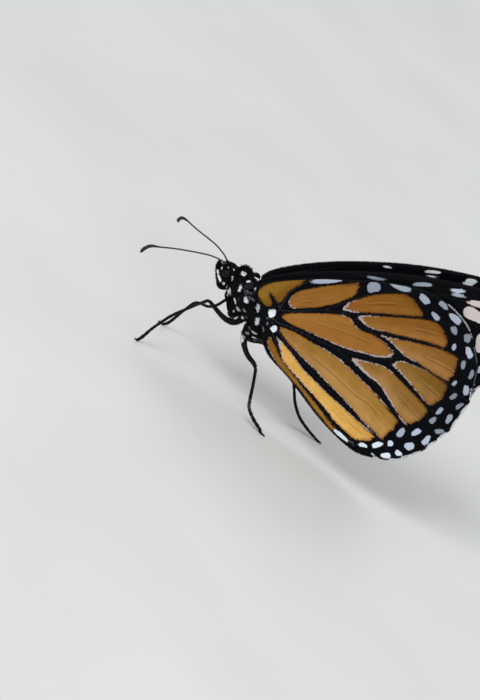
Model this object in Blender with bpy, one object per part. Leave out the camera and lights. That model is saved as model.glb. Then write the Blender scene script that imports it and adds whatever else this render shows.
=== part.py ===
"""Monarch butterfly, life size, standing with its wings closed over its back.

Frame: metres, +Z up, the head looks along -X and the left side faces -Y.
The model is laid out in millimetres from the left hindwing's hinge line
(along X) and from the floor (along Z); at the end everything is moved so that
the origin is the bottom centre of the whole insect.
"""
import math

import bmesh
import bpy
from mathutils import Matrix, Vector
from mathutils.geometry import delaunay_2d_cdt

MM = 0.001

# ---- driving dimensions, millimetres ---------------------------------------
WING_T = 0.52            # thickness of each wing blade
FOREWING_Y = 2.35        # forewing mid plane from the body's centre plane, at the root
HINDWING_Y = 3.10        # hindwing mid plane, outside the forewing
WING_LEAN = 1.20         # how far the blades draw apart above the back
LEAN_FROM_Z = 18.0       # height where they start to lean
LEAN_OVER = 14.0         # height over which they do it
WING_GRID = 2.6          # spacing of the blade's inner vertices
HINDWING_SCALLOP = 0.22  # depth of the margin between two vein tips
FOREWING_SCALLOP = 0.16

SHAFT_R = 0.25           # antenna shaft
CLUB_R = 0.46            # antenna club
EYE_R = (0.86, 0.84, 0.86)
EYE_AT = (-10.25, 1.18, 18.32)
PALP_R = 0.50
COIL_R = 1.05            # proboscis: centre line of the outer turn
COIL_WIRE = 0.19
COIL_TURNS = 2.25
COIL_AT = (-9.43, 16.02)
CUT_GAP = 0.06           # clearance of a piece to the one that it grows from
FOOT_Z = 0.20            # height of a foot's centre line above the floor

# Wing outlines in the X-Z plane, as named points of the margin.
HINDWING = (
    ("humeral root", -4.5, 20.8, 0), ("humeral angle", -2.7, 23.45, 0),
    ("costa, near", 3.4, 29.2, 0), ("subcosta tip", 8.6, 32.95, 0),
    ("costa, outer", 14.3, 36.75, 0), ("radius tip", 20.0, 39.3, 1),
    ("apex", 25.2, 39.7, 0), ("first median tip", 30.3, 38.2, 1),
    ("second median tip", 35.25, 33.7, 1), ("third median tip", 38.0, 27.3, 1),
    ("first cubital tip", 38.4, 20.5, 1), ("second cubital tip", 36.85, 14.4, 1),
    ("second anal tip", 34.4, 10.3, 1), ("third anal tip", 30.4, 7.65, 0),
    ("anal angle", 26.3, 6.5, 0), ("inner margin, low", 19.0, 7.45, 0),
    ("inner margin, mid", 10.2, 10.05, 0), ("inner margin, high", 4.2, 11.4, 0),
    ("anal root", 1.15, 13.9, 0), ("hinge, rear", -0.6, 16.0, 0),
    ("hinge, front", -3.5, 18.3, 0),
)
FOREWING = (
    ("costal root", -5.1, 20.55, 0), ("costa, first", -3.25, 24.05, 0),
    ("costa, second", 3.10, 30.28, 0), ("costa, third", 11.85, 36.98, 0),
    ("costa, fourth", 19.25, 41.52, 0), ("costa, fifth", 27.0, 45.25, 0),
    ("radius tip", 34.6, 47.7, 0), ("apex", 38.9, 48.15, 0),
    ("fifth radial tip", 40.25, 46.0, 1), ("first median tip", 39.75, 41.6, 1),
    ("second median tip", 38.95, 36.6, 1), ("third median tip", 37.9, 31.2, 1),
    ("first cubital tip", 36.5, 25.9, 1), ("second cubital tip", 34.6, 21.3, 0),
    ("tornus", 32.3, 19.5, 0), ("inner margin, outer", 24.0, 19.1, 0),
    ("inner margin, mid", 12.0, 19.0, 0), ("inner margin, near", 1.0, 19.55, 0),
    ("inner root", -3.4, 19.95, 0),
)

# Trunk sections: x, height of the centre, half width, half height.
THORAX = (
    (-8.86, 18.15, 1.10, 1.85), (-8.45, 18.25, 1.70, 2.60), (-7.50, 17.95, 2.20, 3.00),
    (-6.20, 17.35, 2.48, 3.50), (-5.00, 16.95, 2.62, 3.92), (-3.40, 17.00, 2.66, 3.90),
    (-1.80, 16.50, 2.60, 3.85), (-0.40, 15.35, 2.42, 3.95), (0.80, 14.95, 2.15, 3.25),
    (1.50, 14.75, 1.75, 2.55),
)
HEAD = (
    (-8.96, 18.20, 0.95, 1.55), (-9.40, 18.20, 1.42, 1.96), (-10.20, 18.20, 1.62, 2.04),
    (-10.95, 18.28, 1.48, 1.80), (-11.45, 18.38, 1.12, 1.38), (-11.78, 18.45, 0.55, 0.72),
)
ABDOMEN_FROM = (1.62, 15.00)
ABDOMEN_TO = (19.60, 9.95)
ABDOMEN_R = (1.72, 2.02, 2.12, 2.14, 2.12, 2.05, 1.92, 1.72, 1.40)   # one radius a segment
SEGMENT_WAIST = 0.07

# Legs, left and right: x, y outwards, z, radius, from the hip to the claws.
MIDLEG_LEFT = (
    (-3.2, 1.35, 13.7, 0.76), (-3.8, 1.55, 12.45, 0.74), (-4.5, 1.95, 11.85, 0.62),
    (-5.95, 2.65, 11.85, 0.50), (-8.2, 3.6, 12.65, 0.40), (-9.75, 4.4, 13.3, 0.35),
    (-10.35, 4.6, 12.75, 0.34), (-11.2, 4.9, 11.4, 0.28), (-13.4, 5.9, 7.7, 0.33),
    (-14.2, 6.3, 5.75, 0.29), (-14.95, 6.75, 3.55, 0.31), (-15.45, 7.05, 1.35, 0.36),
    (-15.72, 7.15, 0.55, 0.33), (-15.90, 7.2, FOOT_Z, 0.27), (-16.22, 7.2, FOOT_Z, 0.24),
)
MIDLEG_RIGHT = (
    (-3.2, 1.35, 13.7, 0.76), (-3.85, 1.6, 12.5, 0.74), (-4.7, 2.0, 11.9, 0.55),
    (-6.0, 3.1, 12.1, 0.46), (-7.05, 4.1, 12.75, 0.38), (-7.50, 4.6, 12.5, 0.33),
    (-7.85, 4.8, 11.6, 0.31), (-8.45, 5.0, 10.1, 0.31), (-9.5, 5.2, 8.95, 0.30),
    (-11.0, 5.45, 8.4, 0.30), (-11.85, 5.75, 7.7, 0.31), (-12.4, 6.1, 6.0, 0.29),
    (-12.9, 6.5, 3.9, 0.31), (-13.4, 6.9, 1.7, 0.34), (-13.9, 7.1, 0.55, 0.31),
    (-14.35, 7.2, FOOT_Z, 0.26), (-15.1, 7.2, FOOT_Z, 0.24),
)
HINDLEG_LEFT = (
    (-1.6, 1.3, 13.2, 0.76), (-1.1, 1.75, 11.6, 0.80), (-0.62, 2.3, 10.55, 0.62),
    (0.45, 3.4, 9.85, 0.50), (1.7, 4.6, 9.5, 0.48), (3.2, 5.8, 9.5, 0.44),
    (3.95, 6.1, 9.1, 0.38), (4.5, 6.2, 8.3, 0.34), (5.6, 6.45, 6.1, 0.34),
    (6.65, 6.65, 3.8, 0.36), (7.5, 6.8, 2.45, 0.34), (9.2, 7.0, 1.4, 0.37),
    (11.0, 7.15, 0.72, 0.35), (11.9, 7.2, FOOT_Z, 0.28), (12.5, 7.25, FOOT_Z, 0.24),
)
HINDLEG_RIGHT = (
    (-1.5, 1.25, 13.1, 0.74), (-0.8, 1.5, 11.0, 0.74), (-0.1, 1.9, 9.95, 0.52),
    (0.9, 2.6, 9.95, 0.46), (2.1, 3.5, 10.25, 0.42), (5.0, 4.9, 10.6, 0.40),
    (7.9, 5.9, 10.4, 0.36), (9.1, 6.2, 9.6, 0.34), (10.0, 6.3, 8.3, 0.33),
    (12.1, 6.6, 5.6, 0.31), (13.7, 6.8, 3.6, 0.33), (15.8, 6.95, 1.9, 0.33),
    (18.2, 7.1, 0.9, 0.33), (20.3, 7.2, 0.36, 0.28), (21.1, 7.2, FOOT_Z, 0.26), (21.8, 7.2, FOOT_Z, 0.24),
)
FORELEG = (
    (-7.6, 0.60, 16.4, 0.50), (-8.1, 0.85, 15.8, 0.50), (-7.95, 1.05, 15.0, 0.36),
    (-7.2, 1.1, 14.2, 0.30), (-6.6, 1.1, 13.5, 0.27), (-6.15, 1.0, 12.95, 0.25),
)

# Antennae: x, y outwards, z, radius as a share of shaft to club.
ANTENNA_LEFT = (
    (-10.9, 0.50, 19.2, 0.2), (-11.75, 0.62, 19.55, 0.0), (-12.9, 1.4, 19.72, 0.0),
    (-15.1, 3.1, 19.6, 0.0), (-19.4, 6.5, 18.5, 0.0), (-22.3, 8.9, 17.5, 0.25),
    (-23.7, 10.0, 17.0, 0.75), (-24.35, 10.65, 16.1, 1.0), (-24.5, 10.95, 15.15, 0.75),
)
ANTENNA_RIGHT = (
    (-10.9, 0.50, 19.2, 0.2), (-11.75, 0.75, 19.75, 0.0), (-12.95, 1.7, 20.0, 0.0),
    (-15.3, 3.45, 19.9, 0.0), (-19.4, 6.5, 19.0, 0.0), (-21.9, 8.6, 18.5, 0.25),
    (-22.95, 9.6, 18.0, 0.75), (-23.3, 10.4, 17.15, 1.0), (-23.25, 10.85, 16.4, 0.75),
)
# Palps: x, y outwards, z, radius as a share of PALP_R.
PALP = (
    (-9.05, 0.80, 15.95, 0.55), (-9.40, 0.82, 15.65, 0.95), (-10.00, 0.82, 15.70, 1.15),
    (-10.65, 0.76, 16.25, 1.04), (-11.30, 0.62, 16.95, 1.00), (-12.10, 0.52, 18.0, 0.95),
    (-12.45, 0.50, 18.55, 0.75), (-12.68, 0.48, 18.98, 0.42),
)

# ---- materials ---------------------------------------------------------------
BLACK = (0.012, 0.011, 0.010)
LOOKS = {
    "fur": (BLACK, 0.90), "chitin": (BLACK, 0.45), "shaft": ((0.05, 0.035, 0.015), 0.55),
    "eye": ((0.008, 0.008, 0.009), 0.12), "sclerite": ((0.035, 0.038, 0.050), 0.35),
    "wing": ((0.45, 0.19, 0.035), 0.85),
}


def material(kind):
    got = bpy.data.materials.get(kind)
    if got:
        return got
    got = bpy.data.materials.new(kind)
    got.use_nodes = True
    shader = got.node_tree.nodes["Principled BSDF"]
    colour, rough = LOOKS[kind]
    shader.inputs["Base Color"].default_value = (*colour, 1.0)
    shader.inputs["Roughness"].default_value = rough
    shader.inputs["Metallic"].default_value = 0.0
    return got


# ---- helpers -----------------------------------------------------------------
def finish_object(name, bm, kind, smooth=True):
    """Close a bmesh (in millimetres) into a named object in metres."""
    bmesh.ops.recalc_face_normals(bm, faces=bm.faces)
    if bm.calc_volume(signed=True) < 0:
        bmesh.ops.reverse_faces(bm, faces=bm.faces)
    bmesh.ops.scale(bm, vec=(MM, MM, MM), verts=bm.verts)
    mesh = bpy.data.meshes.new(name)
    bm.to_mesh(mesh)
    bm.free()
    if smooth:
        mesh.shade_smooth()
        mesh.set_sharp_from_angle(angle=math.radians(50))
    mesh.materials.append(material(kind))
    obj = bpy.data.objects.new(name, mesh)
    bpy.context.scene.collection.objects.link(obj)
    return obj


def spline(points, per_span, closed=False):
    """Centripetal-like Catmull-Rom curve through points of any dimension."""
    n = len(points)
    out = []
    spans = n if closed else n - 1
    for i in range(spans):
        p = [Vector(points[(i + k - 1) % n]) if closed
             else Vector(points[min(max(i + k - 1, 0), n - 1)]) for k in range(4)]
        for j in range(per_span):
            t = j / per_span
            a = 2 * p[1]
            b = (p[2] - p[0]) * t
            c = (2 * p[0] - 5 * p[1] + 4 * p[2] - p[3]) * t * t
            d = (3 * p[1] - p[0] - 3 * p[2] + p[3]) * t ** 3
            out.append((a + b + c + d) * 0.5)
    if not closed:
        out.append(Vector(points[-1]))
    return out


def skin_rings(bm, rings):
    """Bridge equal rings of vertices and cap both ends."""
    for a, b in zip(rings, rings[1:]):
        for k in range(len(a)):
            m = (k + 1) % len(a)
            bm.faces.new((a[k], a[m], b[m], b[k]))
    bm.faces.new(rings[0])
    bm.faces.new(list(reversed(rings[-1])))


def tube(name, path, sides, kind, floor=None):
    """Round limb along path points (x, y, z, radius), millimetres."""
    bm = bmesh.new()
    rings = []
    side = Vector((0.0, 1.0, 0.0))
    for i, p in enumerate(path):
        here = p.xyz
        ahead = (path[min(i + 1, len(path) - 1)].xyz - path[max(i - 1, 0)].xyz).normalized()
        side = (side - ahead * side.dot(ahead)).normalized()
        up = ahead.cross(side)
        ring = []
        for k in range(sides):
            a = 2 * math.pi * (k + 0.5) / sides
            v = here + (side * math.cos(a) + up * math.sin(a)) * p.w
            if floor is not None and v.z < floor + 0.045:
                v.z = floor
            ring.append(bm.verts.new(v))
        rings.append(ring)
    skin_rings(bm, rings)
    return finish_object(name, bm, kind)


def trunk(name, sections, sides, kind, per_span, squareness=2.15):
    """Loft of upright ovals along X."""
    bm = bmesh.new()
    rings = []
    for s in spline([Vector(s) for s in sections], per_span):
        x, zc, ry, rz = s
        ring = []
        for k in range(sides):
            a = 2 * math.pi * k / sides
            c, d = math.cos(a), math.sin(a)
            y = math.copysign(abs(c) ** (2 / squareness), c) * ry
            z = math.copysign(abs(d) ** (2 / squareness), d) * rz
            ring.append(bm.verts.new((x, y, zc + z)))
        rings.append(ring)
    skin_rings(bm, rings)
    return finish_object(name, bm, kind)


def ellipsoid(name, centre, radii, kind, u=16, v=10, grow=0.0):
    bm = bmesh.new()
    bmesh.ops.create_uvsphere(bm, u_segments=u, v_segments=v, radius=1.0)
    for vert in bm.verts:
        # the pole runs sideways, so that the lens looks out from the head
        x, y, z = vert.co
        vert.co = (centre[0] + x * (radii[0] + grow), centre[1] + z * (radii[1] + grow),
                   centre[2] + y * (radii[2] + grow))
    return finish_object(name, bm, kind)


def groove(name, grow):
    """Disc in which the rolled tongue lies, between the palps."""
    bm = bmesh.new()
    turn = Matrix.Rotation(math.radians(90), 4, 'X')
    r = COIL_R + COIL_WIRE + grow
    bmesh.ops.create_cone(bm, cap_ends=True, segments=40, radius1=r, radius2=r,
                          depth=2 * (COIL_WIRE + grow), matrix=turn)
    for v in bm.verts:
        v.co += Vector((COIL_AT[0], 0.0, COIL_AT[1]))
    return finish_object(name, bm, "chitin")


def cut(obj, cutter):
    """Take the cutter's volume from obj."""
    cutter.hide_render = True
    cutter.display_type = 'WIRE'
    mod = obj.modifiers.new("cut", 'BOOLEAN')
    mod.operation = 'DIFFERENCE'
    mod.solver = 'EXACT'
    mod.object = cutter


def grown(obj, name, by):
    """A guide copy of obj, swollen along its normals by a clearance in mm."""
    mesh = obj.data.copy()
    for vert, normal in zip(mesh.vertices, [v.normal.copy() for v in obj.data.vertices]):
        vert.co += normal * by * MM
    guide = bpy.data.objects.new(name, mesh)
    bpy.context.scene.collection.objects.link(guide)
    guide.hide_render = True
    guide.display_type = 'WIRE'
    return guide


def mirrored(points, sign):
    return [(p[0], p[1] * sign, *p[2:]) for p in points]


# ---- wings -------------------------------------------------------------------
def ease(t):
    t = min(1.0, max(0.0, t))
    return t * t * (3 - 2 * t)


def lean(x, z):
    """Sideways offset of a blade: it leans out above the back and its tip
    eases in again, with a faint hollow along the middle."""
    out = WING_LEAN * ease((z - LEAN_FROM_Z) / LEAN_OVER)
    return out - 0.25 * ease((x - 26.0) / 14.0)


def outline(points, depth):
    """Margin of a wing: a smooth curve through its named points, hollowed
    between the vein tips that are marked with 1."""
    n = len(points)
    curve = []
    for i in range(n):
        a, b = points[i], points[(i + 1) % n]
        length = math.hypot(b[1] - a[1], b[2] - a[2])
        steps = max(2, round(length / 1.6))
        quad = [Vector(points[(i + k - 1) % n][1:3]) for k in range(4)]
        for j in range(steps):
            t = j / steps
            p = (2 * quad[1] + (quad[2] - quad[0]) * t
                 + (2 * quad[0] - 5 * quad[1] + 4 * quad[2] - quad[3]) * t * t
                 + (3 * quad[1] - quad[0] - 3 * quad[2] + quad[3]) * t ** 3) * 0.5
            if a[3] and b[3]:
                chord = (quad[2] - quad[1]).normalized()
                inward = Vector((chord.y, -chord.x))
                p = p + inward * depth * math.sin(math.pi * t)
            curve.append(p)
    return curve


def inside(p, ring):
    hit = False
    for a, b in zip(ring, ring[1:] + ring[:1]):
        if (a.y > p.y) != (b.y > p.y) and p.x < (b.x - a.x) * (p.y - a.y) / (b.y - a.y) + a.x:
            hit = not hit
    return hit


def wing(name, points, depth, y_mid, sign):
    """A cambered blade of even thickness over its outline."""
    ring = outline(points, depth)
    coords = list(ring)
    edges = [(i, (i + 1) % len(ring)) for i in range(len(ring))]
    lo_x, hi_x = min(p.x for p in ring), max(p.x for p in ring)
    lo_z, hi_z = min(p.y for p in ring), max(p.y for p in ring)
    row, z = 0, lo_z + WING_GRID / 2
    while z < hi_z:
        x = lo_x + (WING_GRID / 2 if row % 2 else 0.0)
        while x < hi_x:
            p = Vector((x, z))
            near = min((p - q).length for q in ring)
            if inside(p, ring) and near > 0.55 * WING_GRID:
                coords.append(p)
            x += WING_GRID
        z += WING_GRID * 0.87
        row += 1
    verts, _, faces, _, _, _ = delaunay_2d_cdt(coords, edges, [], 1, 1e-6)
    rim = len(ring)
    bm = bmesh.new()
    layers = []
    for half in (-0.5, 0.5):
        layers.append([bm.verts.new((v.x, sign * (y_mid + lean(v.x, v.y) + half * WING_T), v.y))
                       for v in verts])
    for f in faces:
        bm.faces.new([layers[0][k] for k in f])
        bm.faces.new([layers[1][k] for k in reversed(f)])
    for i in range(rim):
        k = (i + 1) % rim
        bm.faces.new((layers[0][i], layers[0][k], layers[1][k], layers[1][i]))
    return finish_object(name, bm, "wing")


# ---- build -------------------------------------------------------------------
def main():
    for obj in list(bpy.data.objects):
        bpy.data.objects.remove(obj, do_unlink=True)

    parts = []

    slot = groove("guide_groove", 0.09)
    thorax = trunk("thorax", THORAX, 22, "fur", 1)
    cut(thorax, slot)
    parts.append(thorax)
    thorax_guide = grown(thorax, "guide_thorax", CUT_GAP)

    head = trunk("head", HEAD, 20, "fur", 2)
    cut(head, slot)
    parts.append(head)
    head_guide = grown(head, "guide_head", CUT_GAP)

    # Abdomen: a row of segments, each a little fuller than the joints between.
    sections = []
    n = len(ABDOMEN_R)
    for i, r in enumerate(ABDOMEN_R):
        for t, pinch in ((0.04, SEGMENT_WAIST), (0.5, 0.0)):
            sections.append(((i + t) / n, r - pinch))
    sections += [(0.965, ABDOMEN_R[-1] * 0.78), (0.99, ABDOMEN_R[-1] * 0.5),
                 (1.0, ABDOMEN_R[-1] * 0.22)]
    bm = bmesh.new()
    start, end = Vector((ABDOMEN_FROM[0], 0, ABDOMEN_FROM[1])), Vector((ABDOMEN_TO[0], 0, ABDOMEN_TO[1]))
    along = (end - start).normalized()
    up = Vector((-along.z, 0, along.x))
    rings = []
    for t, r in sections:
        c = start.lerp(end, t) + up * 0.35 * math.sin(math.pi * t)
        rings.append([bm.verts.new(c + Vector((0, math.cos(a), 0)) * r * 0.96 + up * math.sin(a) * r * 1.04)
                      for a in [2 * math.pi * k / 16 for k in range(16)]])
    skin_rings(bm, rings)
    parts.append(finish_object("abdomen", bm, "fur"))
    cut(parts[-1], thorax_guide)

    for side, sign in (("left", -1), ("right", 1)):
        eye = ellipsoid("eye_" + side, (EYE_AT[0], sign * EYE_AT[1], EYE_AT[2]), EYE_R, "eye")
        socket = ellipsoid("guide_socket_" + side, (EYE_AT[0], sign * EYE_AT[1], EYE_AT[2]),
                           EYE_R, "eye", grow=CUT_GAP)
        cut(head, socket)
        parts.append(eye)

        antenna = ANTENNA_LEFT if sign < 0 else ANTENNA_RIGHT
        path = [Vector((x, sign * y, z, SHAFT_R + (CLUB_R - SHAFT_R) * w))
                for x, y, z, w in spline(antenna, 2)]
        feeler = tube("antenna_" + side, path, 7, "shaft")
        cut(feeler, head_guide)
        parts.append(feeler)

        path = [Vector((x, sign * y, z, PALP_R * w)) for x, y, z, w in spline(PALP, 2)]
        palp = tube("palp_" + side, path, 8, "fur")
        cut(palp, head_guide)
        parts.append(palp)

        tegula = ellipsoid("tegula_" + side, (-5.75, sign * 2.98, 19.8), (0.80, 0.30, 0.78),
                           "sclerite", u=14, v=8)
        parts.append(tegula)

        parts.append(wing("forewing_" + side, FOREWING, FOREWING_SCALLOP, FOREWING_Y, sign))
        cut(parts[-1], thorax_guide)
        parts.append(wing("hindwing_" + side, HINDWING, HINDWING_SCALLOP, HINDWING_Y, sign))
        cut(parts[-1], thorax_guide)

        for leg, points in (("midleg_", MIDLEG_LEFT if sign < 0 else MIDLEG_RIGHT),
                            ("hindleg_", HINDLEG_LEFT if sign < 0 else HINDLEG_RIGHT),
                            ("foreleg_", FORELEG)):
            path = [Vector(p) for p in spline(mirrored(points, sign), 1 if leg == "foreleg_" else 2)]
            limb = tube(leg + side, path, 8, "chitin", floor=None if leg == "foreleg_" else 0.0)
            cut(limb, thorax_guide)
            parts.append(limb)

    # Proboscis: the tongue rolled up under the face.
    path = []
    turns = 34
    for i in range(turns + 1):
        t = i / turns
        a = math.radians(140) + 2 * math.pi * COIL_TURNS * t
        r = COIL_R - (COIL_R - 0.12) * t
        path.append(Vector((COIL_AT[0] + r * math.cos(a), 0.0, COIL_AT[1] + r * math.sin(a),
                            COIL_WIRE * (1 - 0.15 * t))))
    tongue = tube("proboscis", path, 6, "chitin")
    parts.append(tongue)

    # Bring the origin to the bottom centre of the whole.
    lows = [min(c[k] for o in parts for c in [v.co for v in o.data.vertices]) for k in range(3)]
    highs = [max(c[k] for o in parts for c in [v.co for v in o.data.vertices]) for k in range(3)]
    shift = Vector((-(lows[0] + highs[0]) / 2, -(lows[1] + highs[1]) / 2, -lows[2]))
    for obj in bpy.data.objects:
        if obj.type == 'MESH':
            obj.location = shift
    print("origin moved by (mm):", [round(c * 1000, 3) for c in shift])


main()
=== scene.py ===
import math

import bpy
import bmesh
import numpy as np
from mathutils import Matrix, Vector
from mathutils.bvhtree import BVHTree
from mathutils.geometry import delaunay_2d_cdt


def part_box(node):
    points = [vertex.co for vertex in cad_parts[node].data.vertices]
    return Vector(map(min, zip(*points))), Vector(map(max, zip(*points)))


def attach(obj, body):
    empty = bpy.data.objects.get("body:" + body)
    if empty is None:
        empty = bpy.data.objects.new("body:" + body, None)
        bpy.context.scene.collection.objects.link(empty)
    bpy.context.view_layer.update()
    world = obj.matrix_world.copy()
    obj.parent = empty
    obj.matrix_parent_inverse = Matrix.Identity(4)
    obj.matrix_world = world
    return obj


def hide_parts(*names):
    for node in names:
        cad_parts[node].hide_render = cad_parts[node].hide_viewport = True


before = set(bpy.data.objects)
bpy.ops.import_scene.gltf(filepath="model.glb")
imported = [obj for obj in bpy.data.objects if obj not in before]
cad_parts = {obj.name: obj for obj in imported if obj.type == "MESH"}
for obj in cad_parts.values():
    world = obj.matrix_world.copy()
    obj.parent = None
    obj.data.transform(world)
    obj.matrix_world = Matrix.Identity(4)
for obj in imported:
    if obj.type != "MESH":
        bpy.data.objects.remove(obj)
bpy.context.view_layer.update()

MM = 0.001
EYE_AT = (-10.25, 1.18, 18.32)
_lo, _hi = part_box("eye_left")
_mid = (_lo + _hi) / 2
SHIFT = np.array((_mid.x / MM - EYE_AT[0], _mid.y / MM + EYE_AT[1], _mid.z / MM - EYE_AT[2]))

# ---- measures ----------------------------------------------------------------
FOREWING_Y, HINDWING_Y = 2.35, 3.10     # mid planes of the blades
WING_INSET = 0.30                       # the fringe of scales covers this margin
COAT = 0.26                             # depth of the coat over the body's skin
EYE_R = (0.86, 0.84, 0.86)
FOOT_Z = 0.20

HINDWING = (
    (-4.5, 20.8, 0), (-2.7, 23.45, 0), (3.4, 29.2, 0), (8.6, 32.95, 0), (14.3, 36.75, 0),
    (20.0, 39.3, 1), (25.2, 39.7, 0), (30.3, 38.2, 1), (35.25, 33.7, 1), (38.0, 27.3, 1),
    (38.4, 20.5, 1), (36.85, 14.4, 1), (34.4, 10.3, 1), (30.4, 7.65, 0), (26.3, 6.5, 0),
    (19.0, 7.45, 0), (10.2, 10.05, 0), (4.2, 11.4, 0), (1.15, 13.9, 0), (-0.6, 16.0, 0),
    (-3.5, 18.3, 0),
)
FOREWING = (
    (-5.1, 20.55, 0), (-3.25, 24.05, 0), (3.10, 30.28, 0), (11.85, 36.98, 0), (19.25, 41.52, 0),
    (27.0, 45.25, 0), (34.6, 47.7, 0), (38.9, 48.15, 0), (40.25, 46.0, 1), (39.75, 41.6, 1),
    (38.95, 36.6, 1), (37.9, 31.2, 1), (36.5, 25.9, 1), (34.6, 21.3, 0), (32.3, 19.5, 0),
    (24.0, 19.1, 0), (12.0, 19.0, 0), (1.0, 19.55, 0), (-3.4, 19.95, 0),
)

# Hindwing cells: how light the scales are, then the coloured area's corners.
HINDWING_CELLS = {
    "humeral": (0.20, ((-3.6, 19.8), (-3.7, 20.4), (-3.5, 21.4), (-2.9, 22.4), (-0.3, 25.8), (1.4, 27.3), (1.5, 26.2), (0.7, 24.4), (0.4, 23.5), (0.5, 21.0), (0.2, 20.7), (-2.1, 21.4), (-1.8, 20.5), (-0.5, 19.6), (-0.6, 19.1), (-1.2, 18.7), (-1.9, 18.8), (-3.2, 19.3))),
    "subcostal": (0.22, ((1.7, 21.8), (1.6, 23.1), (2.1, 24.9), (5.8, 29.2), (9.4, 32.7), (9.7, 32.4), (10.1, 31.3), (10.1, 30.4), (8.4, 27.3), (6.6, 24.9), (3.5, 22.0), (2.7, 21.4))),
    "radial": (0.20, ((10.0, 27.1), (10.4, 28.9), (12.3, 31.9), (13.1, 32.9), (14.4, 34.1), (16.9, 36.1), (17.8, 36.4), (18.7, 36.4), (20.3, 36.0), (22.0, 35.2), (20.1, 33.8), (15.6, 30.9), (11.6, 27.8))),
    "discal": (0.36, ((2.3, 18.8), (2.6, 19.6), (3.8, 20.8), (8.8, 24.8), (11.4, 26.4), (12.2, 26.4), (13.9, 25.8), (14.8, 25.8), (17.2, 26.5), (18.6, 26.7), (19.9, 26.7), (21.9, 26.1), (21.7, 25.4), (21.0, 24.5), (19.8, 23.7), (14.4, 21.3), (4.9, 19.0), (3.7, 18.8))),
    "median_1": (0.22, ((13.1, 27.6), (13.4, 28.2), (14.3, 29.0), (22.0, 34.3), (24.4, 35.6), (25.2, 35.6), (25.9, 35.4), (27.4, 34.6), (28.1, 34.0), (28.3, 32.9), (25.4, 32.0), (16.2, 27.6), (15.2, 27.4))),
    "median_2": (0.30, ((18.2, 27.6), (19.1, 27.8), (24.0, 30.3), (28.0, 32.1), (30.3, 32.6), (31.3, 32.6), (31.7, 32.2), (32.4, 30.1), (32.5, 28.2), (31.8, 28.0), (25.9, 27.7), (24.8, 27.3), (23.6, 27.2), (20.3, 27.8))),
    "median_3": (0.24, ((23.1, 24.3), (23.3, 25.0), (23.8, 25.6), (24.5, 26.1), (28.3, 27.2), (30.9, 27.4), (33.0, 27.4), (33.6, 24.6), (32.8, 22.5), (32.2, 22.4), (24.8, 24.2))),
    "cubital_1": (0.36, ((16.6, 20.5), (21.6, 22.8), (23.4, 23.0), (27.4, 22.4), (33.0, 21.3), (33.0, 18.9), (31.6, 16.9), (30.7, 16.9), (24.0, 19.6), (22.7, 19.9), (21.2, 19.8), (18.3, 20.1))),
    "cubital_2": (0.44, ((3.4, 16.6), (3.3, 17.1), (3.8, 17.3), (6.9, 18.0), (9.4, 18.2), (12.0, 18.7), (15.4, 18.9), (23.5, 17.8), (28.5, 16.5), (29.8, 16.1), (30.0, 15.2), (30.1, 14.3), (29.8, 13.5), (29.7, 11.8), (24.8, 12.4), (20.3, 13.5), (15.2, 14.2), (12.9, 14.7), (10.3, 15.0), (5.8, 15.8))),
    "anal_2": (1.00, ((3.2, 15.3), (6.8, 14.6), (10.8, 13.3), (13.6, 12.9), (16.0, 12.5), (28.3, 11.3), (28.3, 10.7), (28.0, 9.9), (26.0, 8.6), (25.1, 8.5), (20.8, 9.1), (18.7, 9.8), (9.3, 11.8), (7.1, 12.4), (4.6, 14.5))),
    "anal_3": (0.26, ((2.6, 14.4), (2.8, 14.6), (6.9, 12.3), (9.2, 11.7), (13.4, 10.4), (17.9, 9.2), (22.8, 7.7), (22.0, 7.3), (21.5, 7.2), (16.9, 8.4), (12.7, 9.8), (7.7, 10.6), (4.3, 12.1), (3.1, 12.9), (2.6, 13.7))),
}
# Hindwing white marks: centre x, z, half length, half width, turn in degrees, whiteness; the whiteness is lower on the
# upper marks, painted shade on the wing's upper part.
# For each cell: light, yellowness at its base and at its outer end, how much painted light the lower side
# gets (below 0 the lower side gets painted shade instead), growth, light at its outer end.
HINDWING_TINTS = {
    "humeral": (0.16, 0.97, 0.97, -0.95, 0.13, 0.15), "subcostal": (0.20, 0.15, 0.45, -0.30, 0.13, 0.19),
    "radial": (0.14, 0.0, 0.55, -0.30, 0.13, 0.08), "discal": (0.325, 0.33, 0.29, -0.45, 0.13, 0.29),
    "median_1": (0.12, 0.37, 0.29, 0.05, 0.13, 0.13), "median_2": (0.20, 0.53, 0.49, 0.42, 0.13, 0.16),
    "median_3": (0.13, 0.86, 0.90, 0.40, 0.13, 0.06), "cubital_1": (0.20, 0.60, 0.76, 0.58, 0.13, 0.17),
    "cubital_2": (0.22, 0.62, 0.80, 0.45, 0.13, 0.43), "anal_2": (0.93, 0.83, 0.83, 0.60, 0.02, 1.05),
    "anal_3": (0.07, 0.66, 0.70, 0.0, -0.06, 0.42),
}
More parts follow.
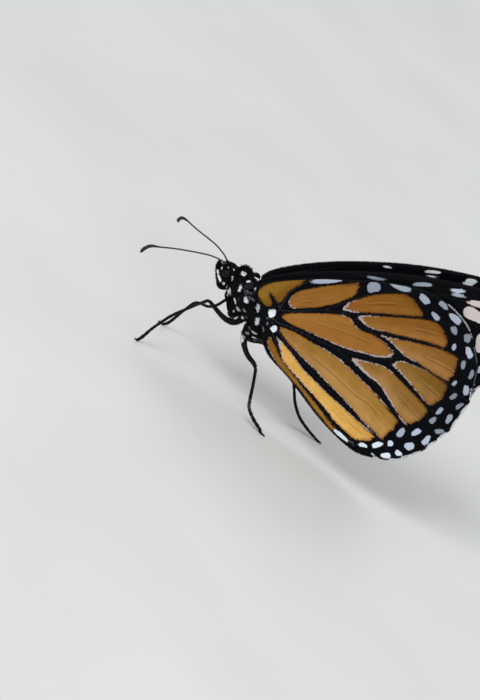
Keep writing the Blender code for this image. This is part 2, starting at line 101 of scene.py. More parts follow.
# Pale scales along the cells' edges: runs of (x, z, width).
HINDWING_TRIM = {
    "subcostal": (((1.5, 22.5, 0.25), (1.9, 21.6, 0.45), (2.8, 21.4, 0.35), (3.6, 22.1, 0.10)),),
    "radial": (((10.7, 29.2, 0.25), (10.1, 27.3, 0.95), (11.3, 27.6, 0.50), (12.5, 28.5, 0.12)),),
    "discal": (((10.1, 25.6, 0.05), (11.4, 26.4, 0.20), (13.1, 26.0, 0.20), (14.5, 26.0, 0.08)),
               ((6.5, 19.5, 0.05), (8.2, 19.9, 0.18), (10.8, 20.4, 0.24), (14.4, 21.3, 0.38), (17.1, 22.4, 0.50),
                (19.8, 23.7, 0.55), (21.7, 25.4, 0.60), (21.8, 26.2, 0.50), (20.5, 26.6, 0.30), (19.0, 26.8, 0.12))),
    "median_1": (((16.8, 30.8, 0.05), (14.6, 29.2, 0.30), (13.1, 27.6, 0.95), (13.6, 27.5, 0.90), (15.2, 27.4, 0.50),
                  (17.8, 28.4, 0.12)),),
    "median_2": (((23.4, 30.0, 0.05), (21.1, 28.8, 0.20), (19.1, 27.8, 0.30), (18.2, 27.6, 0.35), (19.2, 27.7, 0.35),
                  (21.5, 27.6, 0.40), (23.6, 27.2, 0.28), (26.3, 27.7, 0.10)),),
    "median_3": (((30.1, 27.4, 0.05), (26.9, 26.8, 0.20), (24.5, 26.1, 0.35), (23.3, 25.0, 0.50), (23.1, 24.3, 0.65),
                  (24.8, 24.2, 0.50), (27.5, 23.5, 0.40), (30.1, 22.9, 0.20), (32.1, 22.4, 0.05)),),
    "cubital_1": (((25.1, 22.8, 0.05), (22.5, 23.0, 0.25), (20.6, 22.3, 0.30), (18.4, 21.3, 0.50), (16.6, 20.5, 0.90),
                   (18.3, 20.1, 0.75), (21.2, 19.8, 0.65), (24.0, 19.6, 0.50), (27.8, 18.1, 0.30), (30.7, 16.9, 0.12)),),
    "cubital_2": (((8.2, 18.1, 0.02), (12.0, 18.7, 0.15), (15.4, 18.9, 0.32), (18.2, 18.5, 0.26), (22.3, 18.0, 0.15),
                   (26.0, 17.2, 0.15)),
                  ((6.9, 15.6, 0.05), (11.4, 14.9, 0.26), (15.2, 14.2, 0.26), (20.3, 13.5, 0.22), (24.8, 12.4, 0.20),
                   (28.6, 12.1, 0.12))),
    "anal_2": (((3.2, 15.3, 0.95), (5.9, 13.4, 0.32), (9.3, 11.8, 0.22), (14.0, 10.9, 0.18), (20.8, 9.1, 0.10)),
               ((3.2, 15.3, 0.95), (4.3, 15.1, 0.50), (6.8, 14.6, 0.20), (10.8, 13.3, 0.20), (16.0, 12.5, 0.22),
                (21.3, 11.9, 0.20), (26.7, 11.5, 0.20))),
    "anal_3": (((2.6, 14.6, 0.10), (3.3, 12.9, 0.16), (5.2, 11.6, 0.14), (8.2, 10.5, 0.05)),),
}
# Fine creases that run toward the margin.
HINDWING_CREASES = (
    ((21.0, 31.5), (23.9, 32.9), (26.9, 34.2)), ((25.6, 28.7), (29.0, 29.6), (32.5, 30.2)),
    ((27.4, 24.9), (31.0, 24.8), (33.7, 24.5)), ((25.6, 20.5), (29.4, 19.6), (33.0, 18.9)),
    ((8.8, 16.2), (15.6, 15.9), (21.0, 15.3), (23.8, 15.4), (27.3, 14.8)),
    ((21.2, 10.6), (24.5, 10.3), (27.2, 10.0)), ((6.3, 20.8), (10.3, 22.6), (13.9, 23.9), (18.0, 25.0)),
    ((9.6, 23.7), (11.6, 24.7), (12.9, 25.3)),
    ((12.1, 29.7), (14.8, 32.1), (17.4, 34.0)), ((2.8, 22.5), (4.2, 23.9), (5.3, 24.7)),
)
FOREWING_CREASES = (
    ((3.0, 24.6), (9.0, 28.6), (15.0, 32.4)), ((16.0, 22.6), (23.0, 22.0), (28.0, 21.4)),
    ((18.0, 25.6), (26.0, 25.2), (31.5, 24.4)), ((22.0, 29.0), (28.0, 29.1), (32.0, 28.8)),
    ((24.0, 32.4), (27.0, 32.9), (30.0, 33.1)),
)
HINDWING_MARKS = (
    (4.8, 29.6, 3.00, 0.45, 42, 0.72), (12.0, 33.9, 1.15, 1.00, 51, 0.61),
    (15.9, 36.9, 1.89, 0.49, 22, 0.66), (20.4, 37.8, 1.18, 0.61, 168, 0.69),
    (23.7, 39.0, 0.94, 0.50, 170, 0.61), (23.8, 36.5, 0.90, 0.47, 172, 0.67),
    (26.8, 38.3, 1.31, 0.58, -1, 0.72), (27.9, 36.5, 0.81, 0.54, -41, 0.57),
    (30.6, 36.8, 0.77, 0.63, 117, 0.57), (29.7, 34.0, 0.60, 0.39, 118, 0.70),
    (32.4, 34.8, 1.15, 0.51, -35, 0.76), (32.9, 32.4, 0.87, 0.39, -68, 0.58),
    (35.1, 31.8, 0.86, 0.39, -75, 0.57), (33.7, 28.6, 0.61, 0.32, 88, 0.69),
    (36.1, 28.8, 0.99, 0.50, -60, 0.72), (35.0, 26.4, 0.83, 0.43, 75, 0.56),
    (36.9, 25.6, 0.85, 0.40, 78, 0.56), (34.7, 22.5, 0.86, 0.38, 87, 0.69),
    (36.9, 22.4, 1.06, 0.44, -83, 0.68), (34.8, 20.3, 0.76, 0.49, -103, 0.61),
    (36.9, 19.3, 0.78, 0.46, 48, 0.60), (33.8, 16.6, 0.96, 0.50, 71, 0.80),
    (36.1, 16.5, 1.09, 0.50, 86, 0.80), (31.7, 14.8, 0.94, 0.58, -91, 0.73),
    (34.4, 13.7, 0.87, 0.72, 56, 0.82), (31.4, 12.0, 0.56, 0.49, -62, 0.90),
    (33.6, 11.4, 0.64, 0.48, -7, 0.93), (29.7, 10.3, 0.99, 0.53, 57, 0.98),
    (32.1, 9.6, 0.90, 0.54, 46, 0.99), (27.7, 8.6, 0.85, 0.35, 19, 0.95),
    (30.2, 8.3, 0.42, 0.20, -6, 0.77), (23.5, 7.55, 1.60, 0.40, -3, 0.96),
    (0.45, 18.25, 0.86, 0.62, 120, 0.99), (2.42, 16.12, 0.64, 0.54, 80, 0.97),
    (-2.20, 17.45, 0.62, 0.36, -62, 0.95), (0.92, 16.15, 0.30, 0.20, -60, 0.45), (0.80, 14.85, 0.46, 0.20, -58, 0.45),
    (25.5, 7.65, 0.42, 0.10, 4, 0.60), (26.3, 7.55, 0.26, 0.08, -10, 0.45), (25.9, 7.85, 0.20, 0.07, 20, 0.50),
    (0.3, 16.9, 0.20, 0.16, 20, 0.50),
)
HINDWING_VEINS = {
    "humeral": ((-2.1, 21.3), (-1.1, 20.9), (0.1, 20.4), (1.3, 19.9)),
    "subcosta": ((1.2, 19.4), (1.0, 20.7), (0.9, 21.9), (0.8, 23.5), (1.3, 25.1), (2.5, 28.0), (5.1, 30.2), (8.6, 32.9)),
    "radius": ((1.5, 19.7), (4.2, 21.8), (6.9, 24.3), (8.4, 26.1), (9.3, 27.9), (11.2, 31.0), (14.3, 34.6), (18.2, 37.6), (20.0, 39.4)),
    "media_1": ((7.7, 24.8), (10.0, 26.4), (12.4, 27.9), (15.9, 30.6), (22.3, 34.8), (27.7, 37.4), (30.2, 38.2)),
    "media_2": ((10.0, 26.3), (12.2, 27.0), (13.5, 26.7), (15.1, 26.6), (17.8, 27.9), (24.4, 31.0), (31.6, 33.2), (35.2, 33.7)),
    "media_3": ((15.1, 26.6), (17.4, 27.2), (19.4, 27.5), (21.4, 27.1), (23.4, 26.8), (29.1, 27.5), (38.0, 27.3)),
    "cubitus": ((-0.6, 17.9), (2.1, 17.5), (4.5, 18.2), (10.3, 19.5), (14.1, 20.5), (20.0, 23.1), (22.1, 24.9), (23.4, 26.8)),
    "cubitus_1": ((21.9, 24.6), (23.3, 24.1), (28.0, 22.8), (33.2, 21.7), (38.4, 20.5)),
    "cubitus_2": ((13.8, 20.2), (16.2, 20.0), (22.0, 19.3), (27.4, 17.8), (33.1, 15.4), (36.8, 14.4)),
    "anal_2": ((0.4, 17.2), (2.6, 16.5), (5.1, 15.5), (10.3, 14.3), (14.4, 13.5), (24.1, 12.1), (30.8, 10.9), (34.4, 10.4)),
    "anal_3": ((1.2, 16.2), (2.5, 15.4), (5.8, 13.3), (8.2, 12.1), (13.7, 10.6), (20.8, 8.9), (24.0, 8.2), (30.4, 7.8)),
}
# White stretches of the hindwing's fringe, as pairs of places along the margin.
HINDWING_DASHES = (
    ((20.3, 39.6), (22.3, 39.9)), ((24.3, 39.9), (26.8, 39.3)), ((27.6, 39.2), (30.1, 38.4)),
    ((30.9, 37.8), (32.5, 36.8)), ((33.0, 36.0), (34.6, 34.4)), ((35.7, 32.7), (36.5, 30.8)),
    ((37.0, 29.8), (37.8, 28.0)), ((38.0, 26.3), (38.0, 24.3)), ((38.2, 23.3), (38.4, 21.3)),
    ((38.2, 19.6), (37.8, 18.1)), ((37.4, 17.0), (37.2, 15.2)), ((36.2, 13.8), (35.6, 12.6)),
    ((35.4, 12.2), (34.6, 10.8)), ((34.0, 10.1), (32.8, 8.7)), ((32.0, 8.2), (30.8, 7.9)),
)

FOREWING_VEINS = {
    "subcosta": ((-4.2, 20.9), (0.5, 26.0), (6.0, 31.2), (13.5, 37.0), (18.6, 40.4)),
    "radius": ((-3.9, 20.6), (2.0, 25.6), (8.0, 30.6), (14.0, 35.4), (20.0, 38.6), (30.0, 43.3), (40.1, 46.0)),
    "radius_3": ((20.6, 38.9), (26.0, 42.6), (33.3, 47.1)),
    "radius_4": ((30.0, 43.3), (34.0, 45.6), (38.6, 47.9)),
    "media_1": ((19.9, 38.4), (20.6, 36.3), (28.0, 38.6), (39.7, 41.6)),
    "media_2": ((20.6, 36.3), (20.3, 33.4), (28.0, 34.7), (38.9, 36.6)),
    "media_3": ((20.3, 33.4), (18.0, 30.2), (26.0, 30.8), (37.9, 31.2)),
    "cubitus": ((-4.0, 20.1), (4.0, 23.2), (12.0, 27.0), (18.0, 30.2)),
    "cubitus_1": ((14.0, 28.0), (24.0, 27.2), (36.5, 25.9)),
    "cubitus_2": ((7.5, 24.9), (20.0, 23.5), (34.5, 21.4)),
    "anal": ((-3.6, 20.0), (10.0, 20.6), (24.0, 20.2), (32.6, 19.6)),
}
FOREWING_CELLS = {
    "discal": (0.55, ((-2.0, 21.2), (4.0, 26.2), (10.0, 31.2), (15.5, 35.3), (19.0, 37.3), (19.6, 36.0), (19.6, 34.0), (18.4, 32.0), (17.2, 30.7), (12.0, 27.9), (6.0, 24.9), (0.5, 22.4))),
    "cubital_2": (0.58, ((0.5, 21.0), (6.0, 23.4), (8.6, 24.2), (20.0, 22.8), (29.5, 21.7), (30.8, 20.9), (24.0, 20.7), (12.0, 21.1), (4.0, 20.9))),
    "cubital_1": (0.60, ((9.8, 25.4), (14.2, 27.3), (22.0, 26.8), (31.5, 25.8), (32.5, 24.3), (31.6, 22.6), (20.0, 24.1), (12.0, 25.0))),
    "median_3": (0.60, ((15.6, 28.5), (18.6, 29.6), (25.0, 30.1), (32.0, 30.5), (33.0, 28.8), (32.2, 26.9), (22.0, 27.8), (17.0, 28.2))),
    "median_2": (0.55, ((19.4, 31.0), (21.0, 32.7), (25.5, 33.6), (30.0, 34.4), (31.2, 33.0), (30.2, 31.6), (23.0, 31.2))),
    "median_1": (0.62, ((21.4, 34.2), (21.6, 35.6), (24.6, 36.6), (26.6, 36.6), (26.4, 35.2), (23.6, 34.4))),
    "anal": (0.50, ((2.0, 20.0), (12.0, 20.1), (24.0, 19.8), (29.0, 19.75), (24.0, 19.5), (12.0, 19.5))),
}
# Forewing marks: under side, then upper side. The under side's marks are greyer, painted shade on that face; the upper
# side's are near full white.
FOREWING_MARKS = (
    (11.5, 35.3, 1.67, 0.29, 28, 0.62), (18.6, 39.5, 1.60, 0.40, 37, 0.66),
    (24.2, 42.5, 1.33, 0.34, 34, 0.78), (24.8, 41.9, 1.28, 0.27, 26, 0.70),
)
FOREWING_UPPER_MARKS = (
    (11.9, 35.95, 0.95, 0.24, 26, 0.98), (18.9, 40.3, 1.60, 0.34, 33, 0.98),
    (19.3, 39.55, 1.10, 0.22, 30, 0.90), (25.3, 43.2, 1.20, 0.45, 34, 0.95),
    (25.2, 42.5, 1.10, 0.34, 30, 0.92),
)
# Patches behind the tip, warm white on both sides.
FOREWING_PATCHES = (
    (29.0, 43.1, 2.40, 0.62, 27, 0.88), (29.1, 40.7, 2.10, 1.10, 10, 0.88),
    (33.2, 37.4, 1.90, 1.10, -52, 0.86), (33.6, 41.4, 1.60, 0.72, 14, 0.86),
    (33.4, 44.5, 1.10, 0.40, 30, 0.82), (31.0, 46.2, 0.90, 0.28, 22, 0.78),
)

# Body white marks: two ends of a short stroke (x, y outwards, z), radius, whiteness.
BODY_MARKS = (
    ((-11.95, 0.30, 18.97), (-11.82, 0.42, 19.02), 0.17, 0.85), ((-11.49, 0.87, 18.53), (-11.42, 0.92, 18.50), 0.15, 1.00),
    ((-10.81, 1.05, 19.25), (-10.72, 1.10, 19.23), 0.12, 1.00), ((-9.87, 0.89, 19.58), (-9.62, 0.94, 19.44), 0.155, 1.00),
    ((-9.88, 0.24, 19.97), (-9.81, 0.30, 19.96), 0.11, 0.80), ((-9.14, 1.05, 18.40), (-8.90, 0.97, 17.98), 0.18, 1.00),
    ((-11.78, 0.92, 17.54), (-11.12, 1.02, 17.00), 0.22, 1.00), ((-11.02, 1.05, 16.96), (-10.56, 1.22, 16.64), 0.30, 1.00),
    ((-9.78, 1.32, 16.62), (-9.32, 1.18, 16.20), 0.29, 0.90), ((-8.35, 1.25, 16.40), (-7.70, 1.00, 15.62), 0.41, 0.97),
    ((-8.12, 1.10, 20.20), (-7.69, 1.23, 20.32), 0.43, 1.00), ((-7.05, 2.05, 18.40), (-6.78, 2.12, 17.62), 0.31, 1.00),
    ((-6.00, 0.05, 20.88), (-5.35, 0.30, 20.72), 0.36, 1.00), ((-4.74, 2.45, 20.22), (-4.46, 2.62, 19.84), 0.42, 1.00),
    ((-6.59, 1.79, 15.77), (-5.98, 1.84, 15.27), 0.25, 1.00), ((-6.06, 2.15, 16.38), (-5.89, 2.16, 16.17), 0.12, 0.50),
    ((-4.94, 2.36, 17.24), (-4.64, 2.38, 16.95), 0.48, 1.00), ((-5.27, 1.77, 14.59), (-4.75, 1.90, 14.53), 0.25, 0.95),
    ((-5.10, 1.92, 14.78), (-4.80, 1.76, 14.30), 0.20, 0.95), ((-5.44, 1.65, 13.82), (-5.35, 1.66, 13.58), 0.16, 0.90), ((-5.55, 1.80, 13.06), (-5.50, 1.82, 12.96), 0.13, 0.80),
    ((-4.10, 2.24, 15.28), (-3.73, 2.22, 15.05), 0.25, 0.58), ((-2.48, 2.32, 17.33), (-1.91, 2.30, 16.98), 0.41, 1.00),
    ((-1.98, 2.33, 16.80), (-1.95, 2.34, 16.55), 0.20, 1.00), ((-4.55, 1.62, 12.62), (-4.05, 1.62, 13.00), 0.38, 0.85),
    ((-3.40, 1.89, 14.00), (-2.90, 1.95, 14.02), 0.37, 0.95), ((-1.08, 2.25, 15.35), (-0.73, 2.16, 14.64), 0.41, 1.00),
    ((-0.98, 2.25, 15.71), (-0.77, 2.20, 15.10), 0.25, 1.00), ((0.76, 1.87, 15.75), (1.07, 1.74, 15.53), 0.21, 0.50),
    ((0.50, 1.94, 14.53), (0.84, 1.83, 14.53), 0.18, 0.42), ((0.78, 1.83, 14.36), (1.02, 1.59, 13.80), 0.20, 0.42),
    ((-1.00, 2.24, 12.15), (-0.67, 1.87, 12.12), 0.25, 0.60), ((-0.22, 1.55, 12.70), (0.06, 1.50, 12.62), 0.40, 0.98),
    ((-1.29, 1.91, 13.16), (-1.05, 1.81, 12.98), 0.15, 0.40), ((-1.50, 2.30, 11.20), (-0.95, 2.62, 10.60), 0.40, 0.95),
    ((-4.70, 1.75, 19.84), (-4.48, 1.85, 19.60), 0.36, 1.00), ((-6.42, 2.08, 18.85), (-6.05, 2.15, 18.05), 0.13, 0.21),
)

# White on the legs: the near hind hip, and the inner side of the far thigh; the grey on the near mid knee is a painted
# highlight.
LEG_MARKS_AND_HIGHLIGHTS = {
    "hindleg_left": (((-1.50, -2.42, 11.20), (-0.95, -2.80, 10.50), 0.42, 0.95), ((-1.25, -2.50, 11.55), (-0.95, -2.62, 11.30), 0.26, 0.90)),
    "hindleg_right": (((0.62, 1.80, 10.20), (2.40, 3.14, 10.50), 0.19, 0.40),),
    "midleg_left": (((-9.90, -4.75, 12.95), (-11.40, -5.22, 11.10), 0.32, 0.18),),
}
# painted blue-grey highlight on the first joints of the near hind foot
LEG_MARKS_AND_HIGHLIGHTS["hindleg_left"] += (((6.74, -6.80, 3.62), (7.50, -7.02, 2.45), 0.45, 0.205), ((7.80, -7.05, 2.30), (8.75, -7.15, 1.72), 0.32, 0.19))

THORAX = (
    (-8.86, 18.15, 1.10, 1.85), (-8.45, 18.25, 1.70, 2.60), (-7.50, 17.95, 2.20, 3.00),
    (-6.20, 17.35, 2.48, 3.50), (-5.00, 16.95, 2.62, 3.92), (-3.40, 17.00, 2.66, 3.90),
    (-1.80, 16.50, 2.60, 3.85), (-0.40, 15.35, 2.42, 3.95), (0.80, 14.95, 2.15, 3.25),
    (1.50, 14.75, 1.75, 2.55),
)
HEAD = (
    (-8.60, 18.20, 0.95, 1.55), (-9.40, 18.20, 1.42, 1.96), (-10.20, 18.20, 1.62, 2.04),
    (-10.95, 18.28, 1.48, 1.80), (-11.45, 18.38, 1.12, 1.38), (-11.78, 18.45, 0.55, 0.72),
)
ABDOMEN_FROM, ABDOMEN_TO = (1.62, 15.00), (19.60, 9.95)
ABDOMEN_R = (1.72, 2.02, 2.12, 2.14, 2.12, 2.05, 1.92, 1.72, 1.40)

MIDLEG_LEFT = (
    (-3.2, 1.35, 13.7, 0.76), (-3.8, 1.55, 12.45, 0.74), (-4.5, 1.95, 11.85, 0.62),
    (-5.95, 2.65, 11.85, 0.50), (-8.2, 3.6, 12.65, 0.40), (-9.75, 4.4, 13.3, 0.35),
    (-10.35, 4.6, 12.75, 0.34), (-11.2, 4.9, 11.4, 0.28), (-13.4, 5.9, 7.7, 0.33),
    (-14.2, 6.3, 5.75, 0.29), (-14.95, 6.75, 3.55, 0.31), (-15.45, 7.05, 1.35, 0.36),
    (-15.72, 7.15, 0.55, 0.33), (-15.90, 7.2, FOOT_Z, 0.27), (-16.22, 7.2, FOOT_Z, 0.24),
)
MIDLEG_RIGHT = (
    (-3.2, 1.35, 13.7, 0.76), (-3.85, 1.6, 12.5, 0.74), (-4.7, 2.0, 11.9, 0.55),
    (-6.0, 3.1, 12.1, 0.46), (-7.05, 4.1, 12.75, 0.38), (-7.50, 4.6, 12.5, 0.33),
    (-7.85, 4.8, 11.6, 0.31), (-8.45, 5.0, 10.1, 0.31), (-9.5, 5.2, 8.95, 0.30),
    (-11.0, 5.45, 8.4, 0.30), (-11.85, 5.75, 7.7, 0.31), (-12.4, 6.1, 6.0, 0.29),
    (-12.9, 6.5, 3.9, 0.31), (-13.4, 6.9, 1.7, 0.34), (-13.9, 7.1, 0.55, 0.31),
    (-14.35, 7.2, FOOT_Z, 0.26), (-15.1, 7.2, FOOT_Z, 0.24),
)
HINDLEG_LEFT = (
    (-1.6, 1.3, 13.2, 0.76), (-1.1, 1.75, 11.6, 0.80), (-0.62, 2.3, 10.55, 0.62),
    (0.45, 3.4, 9.85, 0.50), (1.7, 4.6, 9.5, 0.48), (3.2, 5.8, 9.5, 0.44),
    (3.95, 6.1, 9.1, 0.38), (4.5, 6.2, 8.3, 0.34), (5.6, 6.45, 6.1, 0.34),
    (6.65, 6.65, 3.8, 0.36), (7.5, 6.8, 2.45, 0.34), (9.2, 7.0, 1.4, 0.37),
    (11.0, 7.15, 0.72, 0.35), (11.9, 7.2, FOOT_Z, 0.28), (12.5, 7.25, FOOT_Z, 0.24),
)
HINDLEG_RIGHT = (
    (-1.5, 1.25, 13.1, 0.74), (-0.8, 1.5, 11.0, 0.74), (-0.1, 1.9, 9.95, 0.52),
    (0.9, 2.6, 9.95, 0.46), (2.1, 3.5, 10.25, 0.42), (5.0, 4.9, 10.6, 0.40),
    (7.9, 5.9, 10.4, 0.36), (9.1, 6.2, 9.6, 0.34), (10.0, 6.3, 8.3, 0.33),
    (12.1, 6.6, 5.6, 0.31), (13.7, 6.8, 3.6, 0.33), (15.8, 6.95, 1.9, 0.33),
    (18.2, 7.1, 0.9, 0.33), (20.3, 7.2, 0.36, 0.28), (21.1, 7.2, FOOT_Z, 0.26), (21.8, 7.2, FOOT_Z, 0.24),
)
FORELEG = (
    (-7.6, 0.60, 16.4, 0.50), (-8.1, 0.85, 15.8, 0.50), (-7.95, 1.05, 15.0, 0.36),
    (-7.2, 1.1, 14.2, 0.30), (-6.6, 1.1, 13.5, 0.27), (-6.15, 1.0, 12.95, 0.25),
)
ANTENNA_LEFT = (
    (-10.9, 0.50, 19.2, 0.2), (-11.75, 0.62, 19.55, 0.0), (-12.9, 1.4, 19.72, 0.0),
    (-15.1, 3.1, 19.6, 0.0), (-19.4, 6.5, 18.5, 0.0), (-22.3, 8.9, 17.5, 0.25),
    (-23.7, 10.0, 17.0, 0.75), (-24.35, 10.65, 16.1, 1.0), (-24.5, 10.95, 15.15, 0.75),
)
ANTENNA_RIGHT = (
    (-10.9, 0.50, 19.2, 0.2), (-11.75, 0.75, 19.75, 0.0), (-12.95, 1.7, 20.0, 0.0),
    (-15.3, 3.45, 19.9, 0.0), (-19.4, 6.5, 19.0, 0.0), (-21.9, 8.6, 18.5, 0.25),
    (-22.95, 9.6, 18.0, 0.75), (-23.3, 10.4, 17.15, 1.0), (-23.25, 10.85, 16.4, 0.75),
)
PALP = (
    (-9.05, 0.80, 15.95, 0.55), (-9.40, 0.82, 15.65, 0.95), (-10.00, 0.82, 15.70, 1.15),
    (-10.65, 0.76, 16.25, 1.04), (-11.30, 0.62, 16.95, 1.00), (-12.10, 0.52, 18.0, 0.95),
    (-12.45, 0.50, 18.55, 0.75), (-12.68, 0.48, 18.98, 0.42),
)
PALP_R = 0.50
COIL_AT, COIL_R, COIL_WIRE, COIL_TURNS = (-9.43, 16.02), 1.05, 0.19, 2.25


# ---- small maths -------------------------------------------------------------
def ease(t):
    t = np.clip(t, 0.0, 1.0)
    return t * t * (3 - 2 * t)


def lean(x, z):
    return 1.20 * ease((z - 18.0) / 14.0) - 0.25 * ease((x - 26.0) / 14.0)


def catmull(points, per_span, closed=False):
    p = np.array(points, float)
    n = len(p)
    out = []
    for i in range(n if closed else n - 1):
        q = [p[(i + k - 1) % n] if closed else p[min(max(i + k - 1, 0), n - 1)] for k in range(4)]
        for j in range(per_span):
            t = j / per_span
            out.append(0.5 * (2 * q[1] + (q[2] - q[0]) * t
                              + (2 * q[0] - 5 * q[1] + 4 * q[2] - q[3]) * t * t
                              + (3 * q[1] - q[0] - 3 * q[2] + q[3]) * t ** 3))
    if not closed:
        out.append(p[-1])
    return np.array(out)


def even(curve, step, closed=False):
    """The same curve with points every step."""
    c = np.vstack([curve, curve[:1]]) if closed else curve
    d = np.r_[0, np.cumsum(np.linalg.norm(np.diff(c[:, :3], axis=0), axis=1))]
    n = max(2, int(round(d[-1] / step)))
    s = np.linspace(0, d[-1], n + 1)
    out = np.stack([np.interp(s, d, c[:, k]) for k in range(c.shape[1])], 1)
    return out[:-1] if closed else out


def rounded(poly, times=2, share=0.24):
    """Corner cutting."""
    p = np.array(poly, float)
    for _ in range(times):
        nxt = np.roll(p, -1, 0)
        p = np.stack([p * (1 - share) + nxt * share, p * share + nxt * (1 - share)], 1).reshape(-1, 2)
    return p


def to_segments(points, line, closed):
    """Distance from each point to a polyline."""
    best = np.full(len(points), 1e9)
    last = len(line) if closed else len(line) - 1
    for i in range(last):
        a, b = line[i], line[(i + 1) % len(line)]
        ab = b - a
        t = np.clip(((points - a) @ ab) / max(ab @ ab, 1e-12), 0, 1)
        d = np.linalg.norm(points - a - t[:, None] * ab, axis=1)
        np.minimum(best, d, out=best)
    return best


def within(points, poly):
    hit = np.zeros(len(points), bool)
    for i in range(len(poly)):
        a, b = poly[i], poly[(i + 1) % len(poly)]
        if a[1] == b[1]:
            continue
        cross = (a[1] > points[:, 1]) != (b[1] > points[:, 1])
        hit ^= cross & (points[:, 0] < (b[0] - a[0]) * (points[:, 1] - a[1]) / (b[1] - a[1]) + a[0])
    return hit


def signed(points, poly):
    d = to_segments(points, poly, True)
    return np.where(within(points, poly), d, -d)


def unit(v):
    return v / np.maximum(np.linalg.norm(v, axis=-1, keepdims=True), 1e-12)


# ---- meshes ------------------------------------------------------------------
def make_object(name, verts, faces, smooth=True, data=None, uv=None, uv_loops=None):
    """A mesh object from layout millimetres. data: name -> value per vertex."""
    me = bpy.data.meshes.new(name)
    me.from_pydata(((np.asarray(verts) + SHIFT) * MM).tolist(), [],
                   faces.tolist() if isinstance(faces, np.ndarray) else faces)
    me.update()
    if smooth:
        me.polygons.foreach_set("use_smooth", np.ones(len(me.polygons), bool))
    for key, values in (data or {}).items():
        at = me.attributes.new(key, 'FLOAT', 'POINT')
        at.data.foreach_set("value", np.asarray(values, np.float32))
    if uv is not None or uv_loops is not None:
        layer = me.uv_layers.new(name="OFBake")
        if uv_loops is None:
            index = np.empty(len(me.loops), np.int32)
            me.loops.foreach_get("vertex_index", index)
            uv_loops = np.asarray(uv)[index]
        layer.data.foreach_set("uv", np.asarray(uv_loops, np.float32).ravel())
    ob = bpy.data.objects.new(name, me)
    bpy.context.scene.collection.objects.link(ob)
    return ob


def ringed(path, radii, sides, side=(0.0, 1.0, 0.0), flat=None, floor=None, caps=True):
    """Rings of a limb along path; returns vertices and faces."""
    path = np.asarray(path, float)
    ahead = unit(np.gradient(path, axis=0))
    s = np.array(side, float)
    a = 2 * np.pi * (np.arange(sides) + 0.5) / sides
    verts = []
    for i, p in enumerate(path):
        s = unit(s - ahead[i] * (s @ ahead[i]))
        u = np.cross(ahead[i], s)
        k = 1.0 if flat is None else flat[i]
        ring = p + radii[i] * (np.outer(np.cos(a), s) + np.outer(np.sin(a), u) * k)
        if floor is not None:
            ring[:, 2] = np.maximum(ring[:, 2], floor)
        verts.append(ring)
    n = len(path)
    faces = []
    for i in range(n - 1):
        for k in range(sides):
            m = (k + 1) % sides
            faces.append((i * sides + k, i * sides + m, (i + 1) * sides + m, (i + 1) * sides + k))
    if caps:
        faces.append(tuple(range(sides))[::-1])
        faces.append(tuple(range((n - 1) * sides, n * sides)))
    return np.vstack(verts), faces


def gather(parts):
    """Several vertex and face lists as one."""
    verts, faces, base = [], [], 0
    for v, f in parts:
        verts.append(v)
        faces += [tuple(k + base for k in g) for g in f]
        base += len(v)
    return np.vstack(verts), faces


def outward(ob):
    bm = bmesh.new()
    bm.from_mesh(ob.data)
    bmesh.ops.recalc_face_normals(bm, faces=bm.faces)
    bm.to_mesh(ob.data)
    bm.free()


# ---- materials ---------------------------------------------------------------
def srgb(r, g, b):
    return tuple((c / 255 / 12.92) if c <= 10 else ((c / 255 + 0.055) / 1.055) ** 2.4
                 for c in (r, g, b)) + (1.0,)


